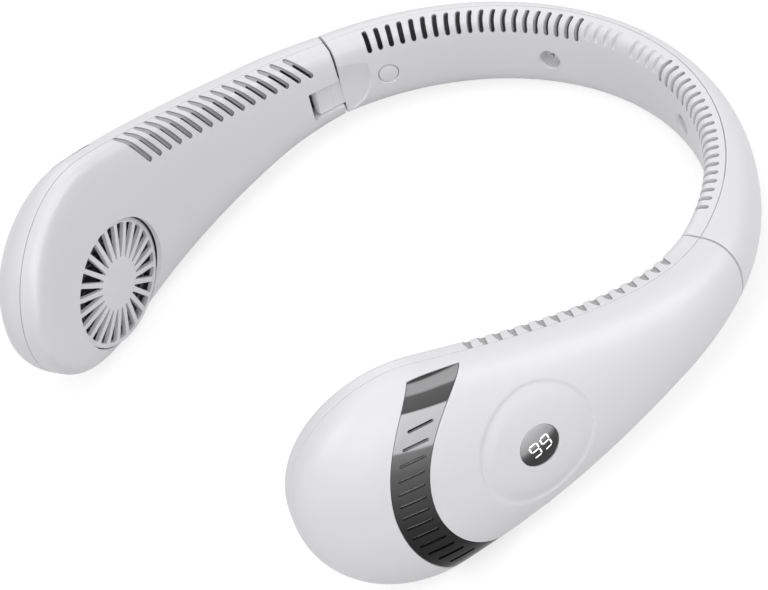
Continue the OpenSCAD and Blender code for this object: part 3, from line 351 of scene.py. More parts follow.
def skin_grain(name):
    """Node group for moulded plastic: from a colour and a roughness it gives both with a faint
    cloudy variation, fine wear that dulls it in places, and the height of its fine grain."""
    group = bpy.data.node_groups.new(name, "ShaderNodeTree")
    for label, kind, value in (("Colour", "NodeSocketColor", (0.8, 0.8, 0.8, 1)),
                               ("Roughness", "NodeSocketFloat", 0.35),
                               ("Mottle", "NodeSocketFloat", 0.02),
                               ("Wear", "NodeSocketFloat", 0.08)):
        group.interface.new_socket(label, in_out="INPUT", socket_type=kind).default_value = value
    group.interface.new_socket("Colour", in_out="OUTPUT", socket_type="NodeSocketColor")
    group.interface.new_socket("Roughness", in_out="OUTPUT", socket_type="NodeSocketFloat")
    group.interface.new_socket("Height", in_out="OUTPUT", socket_type="NodeSocketFloat")
    n, link = group.nodes, group.links.new
    given, out = n.new("NodeGroupInput"), n.new("NodeGroupOutput")
    where = n.new("ShaderNodeTexCoord")

    def noise(scale, detail, rough=0.5):
        node = n.new("ShaderNodeTexNoise")
        node.inputs["Scale"].default_value = scale
        node.inputs["Detail"].default_value = detail
        node.inputs["Roughness"].default_value = rough
        link(where.outputs["Object"], node.inputs["Vector"])
        return node.outputs["Fac"]

    def maths(kind, a, b, c=None):
        node = n.new("ShaderNodeMath")
        node.operation = kind
        for k, v in enumerate([a, b] + ([c] if c is not None else [])):
            if isinstance(v, (int, float)):
                node.inputs[k].default_value = v
            else:
                link(v, node.inputs[k])
        return node.outputs[0]

    cloud = maths("SUBTRACT", noise(38, 3), 0.5)
    tone = maths("MULTIPLY_ADD", cloud, given.outputs["Mottle"], 1.0)
    shade = n.new("ShaderNodeVectorMath")
    shade.operation = "SCALE"
    link(given.outputs["Colour"], shade.inputs[0])
    link(tone, shade.inputs["Scale"])
    link(shade.outputs[0], out.inputs["Colour"])
    rubbed = n.new("ShaderNodeMapRange")
    rubbed.interpolation_type = "SMOOTHSTEP"
    rubbed.inputs["From Min"].default_value = 0.52
    rubbed.inputs["From Max"].default_value = 0.72
    link(noise(120, 6, 0.7), rubbed.inputs["Value"])
    dull = maths("MULTIPLY", rubbed.outputs[0], given.outputs["Wear"])
    speckle = maths("SUBTRACT", noise(900, 2), 0.5)
    fine = maths("MULTIPLY_ADD", speckle, 0.1, given.outputs["Roughness"])
    link(maths("ADD", fine, dull), out.inputs["Roughness"])
    link(maths("MULTIPLY_ADD", noise(2600, 2), 0.6, noise(700, 1)), out.inputs["Height"])
    return group


GRAIN = skin_grain("moulded_skin")


def plastic(name, colour, roughness, mottle=0.03, wear=0.06, grain=0.000012, metal=0.0):
    """A moulded or metal finish: the grain group feeds colour, roughness and a fine bump, which
    is grain metres high."""
    material = bpy.data.materials.new(name)
    material.use_nodes = True
    material.diffuse_color = (*colour, 1)
    n, link = material.node_tree.nodes, material.node_tree.links.new
    shader = n["Principled BSDF"]
    skin = n.new("ShaderNodeGroup")
    skin.node_tree = GRAIN
    skin.inputs["Colour"].default_value = (*colour, 1)
    skin.inputs["Roughness"].default_value = roughness
    skin.inputs["Mottle"].default_value = mottle
    skin.inputs["Wear"].default_value = wear
    bump = n.new("ShaderNodeBump")
    bump.inputs["Strength"].default_value = 0.5
    bump.inputs["Distance"].default_value = grain
    link(skin.outputs["Height"], bump.inputs["Height"])
    link(skin.outputs["Colour"], shader.inputs["Base Color"])
    link(skin.outputs["Roughness"], shader.inputs["Roughness"])
    link(bump.outputs["Normal"], shader.inputs["Normal"])
    shader.inputs["Metallic"].default_value = metal
    return material


white = plastic("white_shell", (0.78, 0.775, 0.795), 0.36)
# Painted shade: the shells' insides are mid grey, which darkens what shows through the slots and
# holes
inside_painted_shade = plastic("shell_inside", (0.42, 0.42, 0.43), 0.6, mottle=0.1)
# Painted shade: the mid grey of the slots' groove floors and slit walls stands in for the shadow
# inside them
groove_painted_shade = plastic("groove_floor", (0.42, 0.42, 0.425), 0.6, mottle=0.1)

# The display's soft groove: where it starts and ends round the display, and its depth. The rings
# along the arm are closer together there
GROOVE_IN, GROOVE_OUT, GROOVE_DEPTH = 12.4, 17.0, 0.45
FINE_FROM, FINE_TO = -27, -62
TIP_RINGS = -BULB_S - BULB_R * np.sin(np.linspace(0, np.pi / 2, 52)[1:])


def arm_rings(fine):
    """Places of the rings along the arm, closer together round the display if it is fine."""
    start = ARM_END - RIM
    if not fine:
        return np.concatenate([start, np.linspace(start[-1], -BULB_S, 112)[1:], TIP_RINGS])
    return np.concatenate([start, np.linspace(start[-1], FINE_FROM, 47)[1:],
                           np.linspace(FINE_FROM, FINE_TO, 90)[1:],
                           np.linspace(FINE_TO, -BULB_S, 10)[1:], TIP_RINGS])


def arm_grid(outer, count):
    """Rows along the arm and columns round half its section: s, x, y and the distances from the
    hinge end and from the parting line."""
    n, wide = (OUTER_N, BULB_T - SEAM) if outer else (INNER_N, SEAM)
    x, y, way = half_section(n, wide, 24, count)
    s = arm_rings(outer)
    return s[:, None], x[None], y[None], (ARM_END - s)[:, None], way[None]


def arm_shell(name, outer, count):
    """One shell of the right arm, with its rims rounded: the outer one with the soft groove round
    the display, the inner one with its end chamfered on the neck side."""
    s, x, y, to_end, to_seam = arm_grid(outer, count)
    depth = np.maximum(rounded(to_end, EDGE_R), rounded(to_seam, EDGE_R))
    if outer:
        origin, axes = frame_at(-DISC_S, 0.0, DISC_Z)
        flat = (arm_point(True, s, x, y, depth) - origin) @ axes.T
        along, up, out = flat[..., 0], flat[..., 1], flat[..., 2]
        away = np.hypot(along - 0.12 * (out - 21), up - 0.1 * (out - 21))
        ring = soft_step((away - GROOVE_IN) / 4.0) * soft_step((GROOVE_OUT - away) / 0.5)
        depth = depth + GROOVE_DEPTH * ring * (out > 0)
    else:
        depth = np.maximum(depth, np.clip(0.45 - to_end, 0, 1) * (x > 0.8))
    skin = arm_point(outer, s, x, y, depth)
    length = ARM_END + BULB_S + BULB_R
    deep = ARM_END - (ARM_END - s) * (length - WALL) / length
    inside = arm_point(outer, deep, x, y, WALL + 0 * depth)
    return walled(name, skin, inside, [white, inside_painted_shade, groove_painted_shade])


def band_ray(a):
    """Origin and axes of a place on the band at the angle a in degrees: round it, up, outwards."""
    a = np.radians(a)
    ray = np.array([np.cos(a), np.sin(a), 0])
    return ray, np.array([[-ray[1], ray[0], 0], [0, 0, 1], ray])


inner = arm_shell("arm_inner", False, 30)
outer = arm_shell("arm_outer", True, 76)

# The hinge's notch in the neck side, with a prong above and below it that holds the pin. Round
# the notch the shell is thickened first
PIN_S, PIN_U, PIN_R, BARREL_R = HINGE_S - 5.5, 3.2, 1.25, 2.9
NOTCH_TOP, NOTCH_LOW, NOTCH_S, PRONG = 1.1, -8.4, PIN_S - BARREL_R - 1.9, 2.6
PIN_LOW, PIN_TOP = -BAND_LOW + WALL + 0.3, NOTCH_TOP + PRONG
for end, low, high in ((ARM_END, NOTCH_TOP, PIN_TOP), (ARM_END, PIN_LOW, NOTCH_LOW),
                       (NOTCH_S, PIN_LOW, PIN_TOP)):
    cut(inner, [curved_block(NOTCH_S - PRONG, end, 0.8, SEAM - 0.3, low, high)], "UNION")
cut(inner, [curved_block(NOTCH_S, HINGE_S + 3, -3, PIN_U + BARREL_R + 0.15, NOTCH_LOW, NOTCH_TOP)])
pin_at = place(PIN_S, PIN_U, 0.0)
cut(inner, [rod(PIN_R + 0.03, PIN_LOW, 8, pin_at, np.eye(3))])

# Sixteen slots along the upper edge of the neck side let the air out towards the wearer. Each is
# a groove over the edge, and a slit along one side of its floor goes through the wall
SLOTS, FIRST_SLOT, LAST_SLOT, SLOT_W, SLOT_IN, SLOT_OUT = 16, -49.3, 11.5, 1.5, 3.4, 4.0
air_slots, grooves = [], []
for q in np.linspace(0, 1, SLOTS):
    s = FIRST_SLOT + (LAST_SLOT - FIRST_SLOT) * q
    drop, slant, slit = 10.6 - 5.0 * q, 6.1 - 1.5 * q, 0.55 + 0.35 * q
    top = arm_edges(s)[0]
    lean_in = arm_lean(s) * SEAM_LEAN * (top - LEAN_Z)
    high, foot = place(s, 4.3 - 0.35 * lean_in, top), place(s + slant, 0.0, top - drop)
    a = s / (BAND_R if s > 0 else ARM_R)
    face = np.array([-np.cos(a), -np.sin(a), 0.5])
    aside = (0.72 - slit / 2) * np.array([np.sin(a), -np.cos(a), 0])
    air_slots.append(edge_slot(high + 0.32 * (foot - high) + aside, foot + aside,
                               face, slit, SLOT_IN, SLOT_OUT))
    grooves.append(edge_slot(high, foot, face, SLOT_W, SLOT_IN, SLOT_OUT))
s, x, y = arm_grid(False, 30)[:3]
floor_depth = 0.3 + 0.5 * soft_step((0.97 - y) / 0.12)
skin_layer = walled("skin_layer", arm_point(False, s, x, y, -1.5 + 0 * x),
                    arm_point(False, s, x, y, floor_depth), [white, inside_painted_shade])
cut(skin_layer, grooves, "INTERSECT")
# The cut faces of the grooves and slits take material 2, the grey painted shade
cut(inner, [solid_of(skin_layer)], lining=2)
cut(inner, air_slots, lining=2)

# The stepped round hole for the intake grille
FAN_S, FAN_Z, GRILLE_R = BULB_S - 4, BULB_Z - 10.2, 18.6
fan_at, fan_axes = frame_at(-FAN_S, 0.0, FAN_Z)
hole_r, seat_r, seat = GRILLE_R + 0.3, GRILLE_R - 1.3, 2.85
cut(inner, [turned([(0, -4), (hole_r, -4), (hole_r, seat), (seat_r, seat), (seat_r, 9), (0, 9)],
                   fan_at, fan_axes)])


# Smoked strip
# A glossy strip of dark smoked plastic lies flush in a bed round the front of each outer shell.
# It is moulded to the shell's curve, thirteen short slots pass through it, and it is glued in.

# The strip follows an oval round the display's axis, between two distances from it, and starts
# STRIP_FROM from the neck side. Its slots stand at the distance VENT_R
STRIP_IN, STRIP_OUT, STRIP_OVAL, STRIP_FROM, STRIP_GAP = 28.0, 37.2, 1.093, 8.4, 0.15
VENTS, VENT_R, VENT_TOP, VENT_LOW, VENT_L, VENT_W = 13, 32.6, 24.9, -17.5, 7.2, 0.9
NEAR_TIP = -BULB_S - BULB_R + 0.1


def strip_place(rho, x, y, d):
    """The point of the outer skin, d deep, at the distance rho from the display's axis: s is
    found by halving, for every place x, y on the section."""
    origin, axes = frame_at(-DISC_S, 0.0, DISC_Z)
    size = np.broadcast(rho, x).shape
    far, near = np.full(size, NEAR_TIP), np.full(size, -DISC_S)
    for _ in range(36):
        s = (far + near) / 2
        flat = (arm_point(True, s, x, y, d) - origin) @ axes.T
        beyond = np.hypot(flat[..., 0] / STRIP_OVAL, flat[..., 1]) > rho
        far, near = np.where(beyond, s, far), np.where(beyond, near, s)
    return (far + near) / 2


def strip_grid(rho0, rho1, across, count, depth, rim):
    """A patch of the skin between two distances from the display's axis, at a depth under the
    skin and with its edges rounded to the radius rim."""
    x, y, way = half_section(OUTER_N, BULB_T - SEAM, 28, count)
    wide = rho1 - rho0
    edge = np.concatenate([RIM, np.linspace(RIM[-1], wide / 2, across)[1:]])
    edge = np.concatenate([edge, wide - edge[-2::-1]])
    s = strip_place((rho0 + edge)[:, None], x[None], y[None], 0.0)
    d = depth + np.maximum(rounded(np.minimum(edge, wide - edge)[:, None], rim),
                           rounded(way[None], rim))
    return arm_point(True, s, x[None], y[None], d)


def vent_cutters():
    """Cutters for the strip's slots, each along the arm and square to the skin."""
    found = []
    for z in np.linspace(VENT_TOP, VENT_LOW, VENTS):
        s = -DISC_S - np.sqrt(VENT_R**2 - (z - DISC_Z) ** 2)
        slope = np.arctan(outer_face(s, z + 0.5) - outer_face(s, z - 0.5))
        origin, axes = frame_at(s, outer_face(s, z), z)
        found.append(prism(slot_outline(VENT_L, VENT_W), origin, about_x(slope) @ axes, -3.1, 1.5))
    return found


def painted_reflection_ramp(material, across, zero, stops):
    """Paints reflections into a finish's colour: a grey that changes along the direction across, in
    millimetres from the point zero, both in the object's own frame: stops holds distances and
    greys."""
    n, link = material.node_tree.nodes, material.node_tree.links.new
    where = n.new("ShaderNodeTexCoord")
    height = n.new("ShaderNodeVectorMath")
    height.operation = "DOT_PRODUCT"
    height.inputs[1].default_value = tuple(across)
    link(where.outputs["Object"], height.inputs[0])
    scale = n.new("ShaderNodeMapRange")
    start, end = stops[0][0], stops[-1][0]
    foot = float(np.dot(zero, across))
    scale.inputs["From Min"].default_value = foot + start / 1000
    scale.inputs["From Max"].default_value = foot + end / 1000
    link(height.outputs["Value"], scale.inputs["Value"])
    ramp = n.new("ShaderNodeValToRGB")
    while len(ramp.color_ramp.elements) < len(stops):
        ramp.color_ramp.elements.new(0.5)
    for e, (z, grey) in zip(ramp.color_ramp.elements, stops):
        e.position = (z - start) / (end - start)
        e.color = (grey, grey, grey * 1.02, 1)
    link(scale.outputs[0], ramp.inputs["Fac"])
    skin = [k for k in n if k.type == "GROUP"][0]
    link(ramp.outputs["Color"], skin.inputs["Colour"])
    return material


def smoke_and_painted_reflection(name, upper):
    """The strip's dark smoked plastic with painted reflections in its colour: near black at the
    foot, lighter upwards to a pale painted reflection band, then a darker field, a painted
    reflection field with the given grey, and a dark edge."""
    smoke = plastic(name, (0.03, 0.03, 0.032), 0.12, mottle=0.1, wear=0.05, grain=0.000002)
    smoke.node_tree.nodes["Principled BSDF"].inputs["Specular IOR Level"].default_value = 0.12
    return painted_reflection_ramp(smoke, LEAN_BACK @ [0, 0.19, 1], at_rest([0, 0, 0]),
                  ((-38, 0.003), (-26, 0.006), (-17, 0.022), (-7, 0.07), (0.4, 0.115), (5.4, 0.2),
                   (6.0, 0.52), (14.4, 0.6), (14.7, 0.085), (17.7, 0.105), (18.0, upper),
                   (19.7, upper), (19.9, 0.05), (20.4, 0.05)))


# Both strips carry painted reflections. They differ only in the grey of the upper painted field
right_smoke_and_reflection = smoke_and_painted_reflection("smoked_strip", 0.33)
left_smoke_and_reflection = smoke_and_painted_reflection("smoked_strip_left", 0.09)

# The bed's cutter reaches a little past the parting line at both ends
bed = strip_grid(STRIP_IN, STRIP_OUT, 5, 40, 0.9, 0.0)
over_bed = strip_grid(STRIP_IN, STRIP_OUT, 5, 40, -1.0, 0.0)
for grid in (bed, over_bed):
    grid[:, 0] += (grid[:, 0] - grid[:, 6]) * 1.5
    grid[:, -1] += (grid[:, -1] - grid[:, -7]) * 1.5
room = np.array([[-60, -60], [60, -60], [60, 60], [-60, 60.0]])
disc_foot, disc_frame = frame_at(-DISC_S, 0.0, DISC_Z)
bed_cutter = walled("bed", over_bed, bed, [white, inside_painted_shade])
cut(bed_cutter, [prism(room, disc_foot, disc_frame, STRIP_FROM, 40)], "INTERSECT")
cut(outer, [solid_of(bed_cutter)])
cut(outer, vent_cutters())
strip_in, strip_out = STRIP_IN + STRIP_GAP, STRIP_OUT - STRIP_GAP
strip = walled("vent_strip", strip_grid(strip_in, strip_out, 9, 60, 0.03, 0.12),
               strip_grid(strip_in, strip_out, 9, 60, 0.8, 0.0), [right_smoke_and_reflection, right_smoke_and_reflection])
cut(strip, [prism(room, disc_foot, disc_frame, STRIP_FROM + STRIP_GAP, 40)], "INTERSECT")
cut(strip, vent_cutters())


# Finished housings
# The same two shells make both arms, the left one mirrored. Only the right outer shell has the
# hole for the display button and the mouth of the charging socket, so those are cut in between.

# The display's axis is square to the outer face, so it follows the arm's taper and its lean
disc_at = place(-DISC_S, outer_face(-DISC_S, DISC_Z), DISC_Z)
grow = (BULB_T - HINGE_T) / (HINGE_S + BULB_S)
taper = np.arctan(grow * (1.35 - 0.7 * (HINGE_S + DISC_S) / (HINGE_S + BULB_S)))
about_y = np.array([[np.cos(taper), 0, np.sin(taper)], [0, 1, 0],
                    [-np.sin(taper), 0, np.cos(taper)]])
lean = np.arctan(arm_lean(-DISC_S))
disc_axes = (about_y @ about_x(lean)).T @ frame_at(-DISC_S, 0.0, 0.0)[1]
LENS_R, LENS_GAP = 5.72, 0.08


def finished(piece, name, body, nodes, mirrored=False, sharp=32, copy=False):
    """Puts a piece of the right side where it belongs, or mirrors it to the left, turns its
    millimetres into metres in the row frame, smooths it, and hands it to its body."""
    mesh = piece.data.copy() if copy else piece.data
    points = points_of(mesh)
    if mirrored:
        points = points * [-1, 1, 1]
        mesh.flip_normals()
    mesh.vertices.foreach_set("co", at_rest(points).ravel())
    mesh.shade_smooth()
    mesh.set_sharp_from_angle(angle=np.radians(sharp))
    mesh.update()
    made = bpy.data.objects.new(name, mesh) if copy else piece
    if copy:
        bpy.context.scene.collection.objects.link(made)
    made.name = mesh.name = name
    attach(made, body)
    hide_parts(*nodes)
    return made


def on_left(piece, part):
    """A mirrored copy of an arm's piece for the left arm."""
    return finished(piece, f"left_{part}_skin", "left_arm", [f"left_{part}"], True, copy=True)


def on_right(piece, part):
    """The piece itself on the right arm, after the left one's copy is taken."""
    return finished(piece, f"right_{part}_skin", "right_arm", [f"right_{part}"])


on_left(inner, "arm_inner_shell")
on_right(inner, "arm_inner_shell")
on_left(outer, "arm_outer_shell")
cut(outer, [rod(LENS_R + LENS_GAP, -5, 4, disc_at, disc_axes)])
socket_axes = np.array([disc_axes[0], disc_axes[2], disc_axes[1]])
socket_at = disc_at + disc_axes.T @ [-1.5, 0, -10.0]
cut(outer, [prism(slot_outline(9.4, 3.7), socket_at, socket_axes, -32, -17.5)])
on_right(outer, "arm_outer_shell")
left_strip = on_left(strip, "vent_strip")
left_strip.data.materials[0] = left_strip.data.materials[1] = left_smoke_and_reflection
on_right(strip, "vent_strip")


# Neck band
# The band behind the neck is one air duct of two moulded shells. Four screws join them: two sit
# in open recesses and two under small round caps. Its ends carry the barrels of the hinges.

# The band ends at the angle BAND_END. RIM_R is the radius at which its rounded ends are laid out
BAND_END = np.degrees((HINGE_S + END_GAP) / BAND_R)
BAND_MID, BAND_HALF = (BAND_TOP - BAND_LOW) / 2, (BAND_TOP + BAND_LOW) / 2
RIM_R = 76


def band_thickness(a):
    """The band thins from the hinges to the back of the neck with the sine of the angle."""
    e = np.sin(np.radians(BAND_END))
    return BACK_T + (HINGE_T - BACK_T) * (1 - np.sin(np.radians(a))) / (1 - e)


def band_shell(name, outer, count, steps):
    """One shell of the band: half a superellipse carried round an arc of the radius BAND_R, with
    its ends and its parting edges rounded."""
    n, wide = (OUTER_N, BACK_T - SEAM) if outer else (INNER_N, SEAM)
    x, y, way = half_section(n, wide, BAND_HALF, count)
    rim = np.degrees(RIM / RIM_R)
    a = np.concatenate([BAND_END + rim, np.linspace(BAND_END + rim[-1], 90, steps)[1:]])
    a = np.concatenate([a, 180 - a[-2::-1]])[:, None]
    to_end = np.radians(np.minimum(a - BAND_END, 180 - BAND_END - a)) * RIM_R
    edge = np.maximum(rounded(to_end, EDGE_R), rounded(way, EDGE_R))

    def layer(d):
        if outer:
            r = BAND_R + OUTER_START + (band_thickness(a) - OUTER_START - d) * x
        else:
            r = BAND_R + SEAM - (SEAM - d) * x
        z = BAND_MID + (BAND_HALF - d) * y
        t = np.radians(a)
        return np.stack(np.broadcast_arrays(r * np.cos(t), r * np.sin(t), z), -1)

    return walled(name, layer(edge), layer(WALL + 0 * edge), [white, inside_painted_shade])


band_inner = band_shell("band_inner", False, 22, 90)
band_outer = band_shell("band_outer", True, 26, 90)

# A round well in a boss holds each screw's head, with a bore for its shank
CAP_TURN, WELL_TURN = 59.5, 21.3
SCREW_Z, WELL_R, WELL_END, SHANK_R = -2.6, 3.0, WALL + 2.2, 0.95
bosses, wells = [], []
for a in (90 - CAP_TURN, 90 - WELL_TURN, 90 + WELL_TURN, 90 + CAP_TURN):
    ray, axes = band_ray(a)
    at = BAND_R * ray + [0, 0, SCREW_Z]
    bosses.append(rod(WELL_R + 1, 0.8, WELL_END + 1, at, axes))
    wells.append(turned([(0, -3), (WELL_R + 0.3, -3), (WELL_R + 0.3, 0.05), (WELL_R, 0.4),
                         (WELL_R, WELL_END), (SHANK_R, WELL_END), (SHANK_R, WELL_END + 4),
                         (0, WELL_END + 4)], at, axes))
cut(band_inner, bosses, "UNION")
cut(band_inner, wells)

# At each end a tongue carries the hinge's barrel, and a shallow dish beside it clears the arm
TONGUE_U, TONGUE_LOW, TONGUE_TOP, BEVEL = 1.7, NOTCH_LOW + 0.3, NOTCH_TOP - 0.3, 0.2
DISH_S, DISH_R, DISH_DEPTH, DISH_NOD = HINGE_S - 2.5, 10, 1.1, np.radians(7)
tongue = curved_block(PIN_S, HINGE_S + 7, TONGUE_U, PIN_U + BARREL_R, TONGUE_LOW, TONGUE_TOP)
barrel = turned([(0, TONGUE_LOW), (BARREL_R - BEVEL, TONGUE_LOW), (BARREL_R, TONGUE_LOW + BEVEL),
                 (BARREL_R, TONGUE_TOP - BEVEL), (BARREL_R - BEVEL, TONGUE_TOP), (0, TONGUE_TOP)],
                pin_at, np.eye(3))
bore = rod(PIN_R + 0.05, NOTCH_LOW, NOTCH_TOP, pin_at, np.eye(3))
ball = ball_radius(DISH_R, DISH_DEPTH)
phi = np.linspace(0, 0.26, 30)
bowl = np.stack([ball * np.sin(phi), DISH_DEPTH - ball + ball * np.cos(phi)], -1)
axes = about_x(-DISH_NOD) @ band_ray(np.degrees(DISH_S / BAND_R))[1]
dish = turned(np.concatenate([[(0, -9)], [(bowl[-1, 0], -9)], bowl[::-1]]),
              place(DISH_S, 0.0, 0.0), axes)
for side in (1, -1):
    for (points, faces), operation in ((tongue, "UNION"), (barrel, "UNION"),
                                       (bore, "DIFFERENCE"), (dish, "DIFFERENCE")):
        cut(band_inner, [(points * [side, 1, 1], faces)], operation)

# Each slot runs from BAND_SLOT_IN behind the neck side to BAND_SLOT_DOWN under the band's top
BAND_SLOT_IN, BAND_SLOT_DOWN = 3.9, 3.4


def band_slots(count, start, stop, below):
    """Cutters for a row of slots on the band's upper inner edge, between two angles from the
    middle of the back, on both halves."""
    found = []
    for k in np.linspace(start, stop, count):
        for a in (90 - k, 90 + k):
            ray, _ = band_ray(a)
            top = np.array([0, 0, BAND_TOP])
            found.append(edge_slot((BAND_R + BAND_SLOT_IN) * ray + top,
                                   BAND_R * ray + top - [0, 0, BAND_SLOT_DOWN],
                                   np.array([0, 0, 1.0]) - ray, SLOT_W, below, SLOT_OUT))
    return found


# Twenty slots a side go through the wall, and four near the back of the neck are blind
cut(band_inner, band_slots(20, 13.1, 62.4, SLOT_IN))
cut(band_inner, band_slots(4, 2.7, 10.5, 0.3))
finished(band_inner, "band_inner_shell_skin", "band", ["band_inner_shell"])
finished(band_outer, "band_outer_shell_skin", "band", ["band_outer_shell"])

# The caps over two of the screws are small turned discs with a rounded edge
CAP_R, CAP_FRONT, CAP_BACK = 2.85, 0.12, 1.0
cap_profile = [(0, CAP_FRONT), (2.5, CAP_FRONT), (2.72, 0.18), (2.82, 0.34), (CAP_R, 0.5),
               (CAP_R, CAP_BACK), (0, CAP_BACK)]
caps = []
for a in (90 - CAP_TURN, 90 + CAP_TURN):
    ray, axes = band_ray(a)
    caps.append(turned(cap_profile, BAND_R * ray + [0, 0, SCREW_Z], axes))
caps = mesh_of("caps", *joined(caps), [white])
finished(caps, "screw_caps_skin", "band", ["screw_caps"])


# Intake grilles
# A round moulded grille drops into the stepped hole on the neck side of each bulb. It is a
# slightly domed disc with a plain hub and twenty-four ribs that widen into a thin rim.

RIBS, RIB_W, HUB_R = 24, 1.4, 7.5
# Rise of the dome, and depths of the hub's front and back and of the lip's foot
DOME, FRONT, BACK, FOOT = 1.4, 0.15, 1.4, 2.7


def turn_flat(a):
    """Matrix that turns points of a plane, given as rows, by the angle a."""
    return np.array([[np.cos(a), np.sin(a)], [-np.sin(a), np.cos(a)]])


def grille_profile():
    """Radius and depth of the grille's section: its domed front, its rounded lip and its back."""
    ball = ball_radius(GRILLE_R, DOME)
    r = np.concatenate([[0], np.linspace(0.6, GRILLE_R - 0.35, 40)])
    front = FRONT + ball - np.sqrt(ball**2 - r**2)
    lip = [(GRILLE_R - 0.12, front[-1] + 0.06), (GRILLE_R, front[-1] + 0.25), (GRILLE_R, FOOT),
           (GRILLE_R - 0.1, FOOT)]
    v = np.linspace(17, 0.5, 24)
    back = np.stack([v, BACK + ball - np.sqrt(ball**2 - v**2)], -1)
    return np.concatenate([np.stack([r, front], -1), lip, back, [(0, BACK)]])


def rib_gaps():
    """Cutters for the wedge-shaped gaps between the ribs."""
    r0, r1 = HUB_R, GRILLE_R - 1.5
    w0, w1 = ((np.pi * r / (RIBS / 2) - RIB_W) / 2 for r in (r0, r1))
    outline = np.array([[r0, -w0 * 0.6], [r0 + 0.3, -w0], [r1 - 0.3, -w1], [r1, -w1 * 0.8],
                        [r1 + 0.15, 0], [r1, w1 * 0.8], [r1 - 0.3, w1], [r0 + 0.3, w0],
                        [r0, w0 * 0.6]])
    return [prism(outline @ turn_flat(a), fan_at, fan_axes, -1, 5)
            for a in np.arange(RIBS) * np.pi / (RIBS / 2)]


grille = mesh_of("grille", *turned(grille_profile(), fan_at, fan_axes, 144), [white])
cut(grille, rib_gaps())
on_left(grille, "grille")
on_right(grille, "grille")


# Display button
# The power button is a small polished dome of black plastic in the right arm's outer shell. Two
# lit seven-segment digits shine through it. Pressed, it pushes the switch on the board behind.

# The lens is a hollow cup: a dome over the disc's level, and a flange that keeps it in the shell
LENS_DOME, LENS_TOP, LENS_BACK = 0.7, 0.5, -1.1
FLANGE_R, FLANGE_TOP, FLANGE_LOW, CUP_R = LENS_R + 0.4, -2.4, -3.1, 4.2


def dome_height(r):
    """Height of the lens's face over the disc at the distance r from its axis."""
    ball = ball_radius(LENS_R, LENS_DOME)
    return LENS_TOP - ball + np.sqrt(ball**2 - r**2)


r = np.linspace(0.2, LENS_R - 0.3, 20)
brim = dome_height(r[-1])
profile = [(0, LENS_TOP), *zip(r, dome_height(r)), (LENS_R - 0.1, brim - 0.09),
           (LENS_R, brim - 0.28), (LENS_R, FLANGE_TOP), (FLANGE_R, FLANGE_TOP),
           (FLANGE_R, FLANGE_LOW), (CUP_R, FLANGE_LOW), (CUP_R, LENS_BACK), (0, LENS_BACK)]
black = plastic("black_lens", (0.008, 0.008, 0.009), 0.06, mottle=0.2, wear=0.04, grain=0.000001)
black.node_tree.nodes["Principled BSDF"].inputs["Specular IOR Level"].default_value = 0.3
# The window's colour holds a painted reflection: dark at its foot and silvery over its upper half
up_left = LEAN_BACK @ (-0.25 * disc_axes[0] + 0.97 * disc_axes[1])
painted_reflection_ramp(black, up_left, at_rest(disc_at), ((-6, 0.004), (-2.2, 0.012), (-0.3, 0.05), (0.6, 0.14),
                                          (1.6, 0.36), (6, 0.55)))
lens = mesh_of("lens", *turned(profile, disc_at, disc_axes), [black])
finished(lens, "display_lens_skin", "power_button", ["display_lens"], sharp=40)

lit = plastic("lit_white", (0.95, 0.95, 0.95), 0.5)
glow = lit.node_tree.nodes["Principled BSDF"]
glow.inputs["Emission Color"].default_value = (1, 1, 1, 1)
glow.inputs["Emission Strength"].default_value = 0.6

# Half the distance between the digits, half their width and height, and their turn on the lens
DIGIT_X, DIGIT_W, DIGIT_H, DIGIT_TURN = 1.72, 1.16, 1.95, np.radians(12)
STROKE_W, STROKE_T, STROKE_GAP = 0.42, 0.1, 0.12


def stroke(p, q):
    """One segment of a digit, with pointed ends, laid 0.02 mm over the lens's dome."""
    long = np.linalg.norm(q - p)
    along = (q - p) / long
    side = np.array([-along[1], along[0]]) * STROKE_W / 2
    t = np.linspace(0, 1, 9)[:, None]
    mid = p + (q - p) * t
    grow = np.clip(np.minimum(t, 1 - t) * long / (STROKE_W / 2), 0.02, 1)
    flat = np.stack([mid - side * grow, mid + side * grow], 1)
    high = dome_height(np.hypot(flat[..., 0], flat[..., 1]))
    skin = disc_at + flat @ disc_axes[:2] + (high + 0.02)[..., None] * disc_axes[2]
    points = np.concatenate([skin, skin - STROKE_T * disc_axes[2]]).reshape(-1, 3)
    return points, np.concatenate(wall_faces(*skin.shape[:2])).tolist()


strokes = []
w, h = DIGIT_W, DIGIT_H
for middle in (-DIGIT_X, DIGIT_X):
    for p, q in (((-w, h), (w, h)), ((-w, 0), (w, 0)), ((-w, -h), (w, -h)),
                 ((w, 0), (w, h)), ((w, -h), (w, 0)), ((-w, 0), (-w, h))):
        p, q = np.array(p, float), np.array(q, float)
        trim = (q - p) / np.linalg.norm(q - p) * STROKE_GAP
        strokes.append(stroke((p + trim + [middle, 0]) @ turn_flat(DIGIT_TURN),
                              (q - trim + [middle, 0]) @ turn_flat(DIGIT_TURN)))
digits = mesh_of("digits", *joined(strokes), [lit])
finished(digits, "lit_digits_skin", "power_button", ["lit_digits"], sharp=60)


# Works inside the arms
# The fan wheel, motor, air duct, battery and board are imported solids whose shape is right. They
# keep it and get their finishes: dark moulded wheel, steel, iron, copper wire, foil, green board.

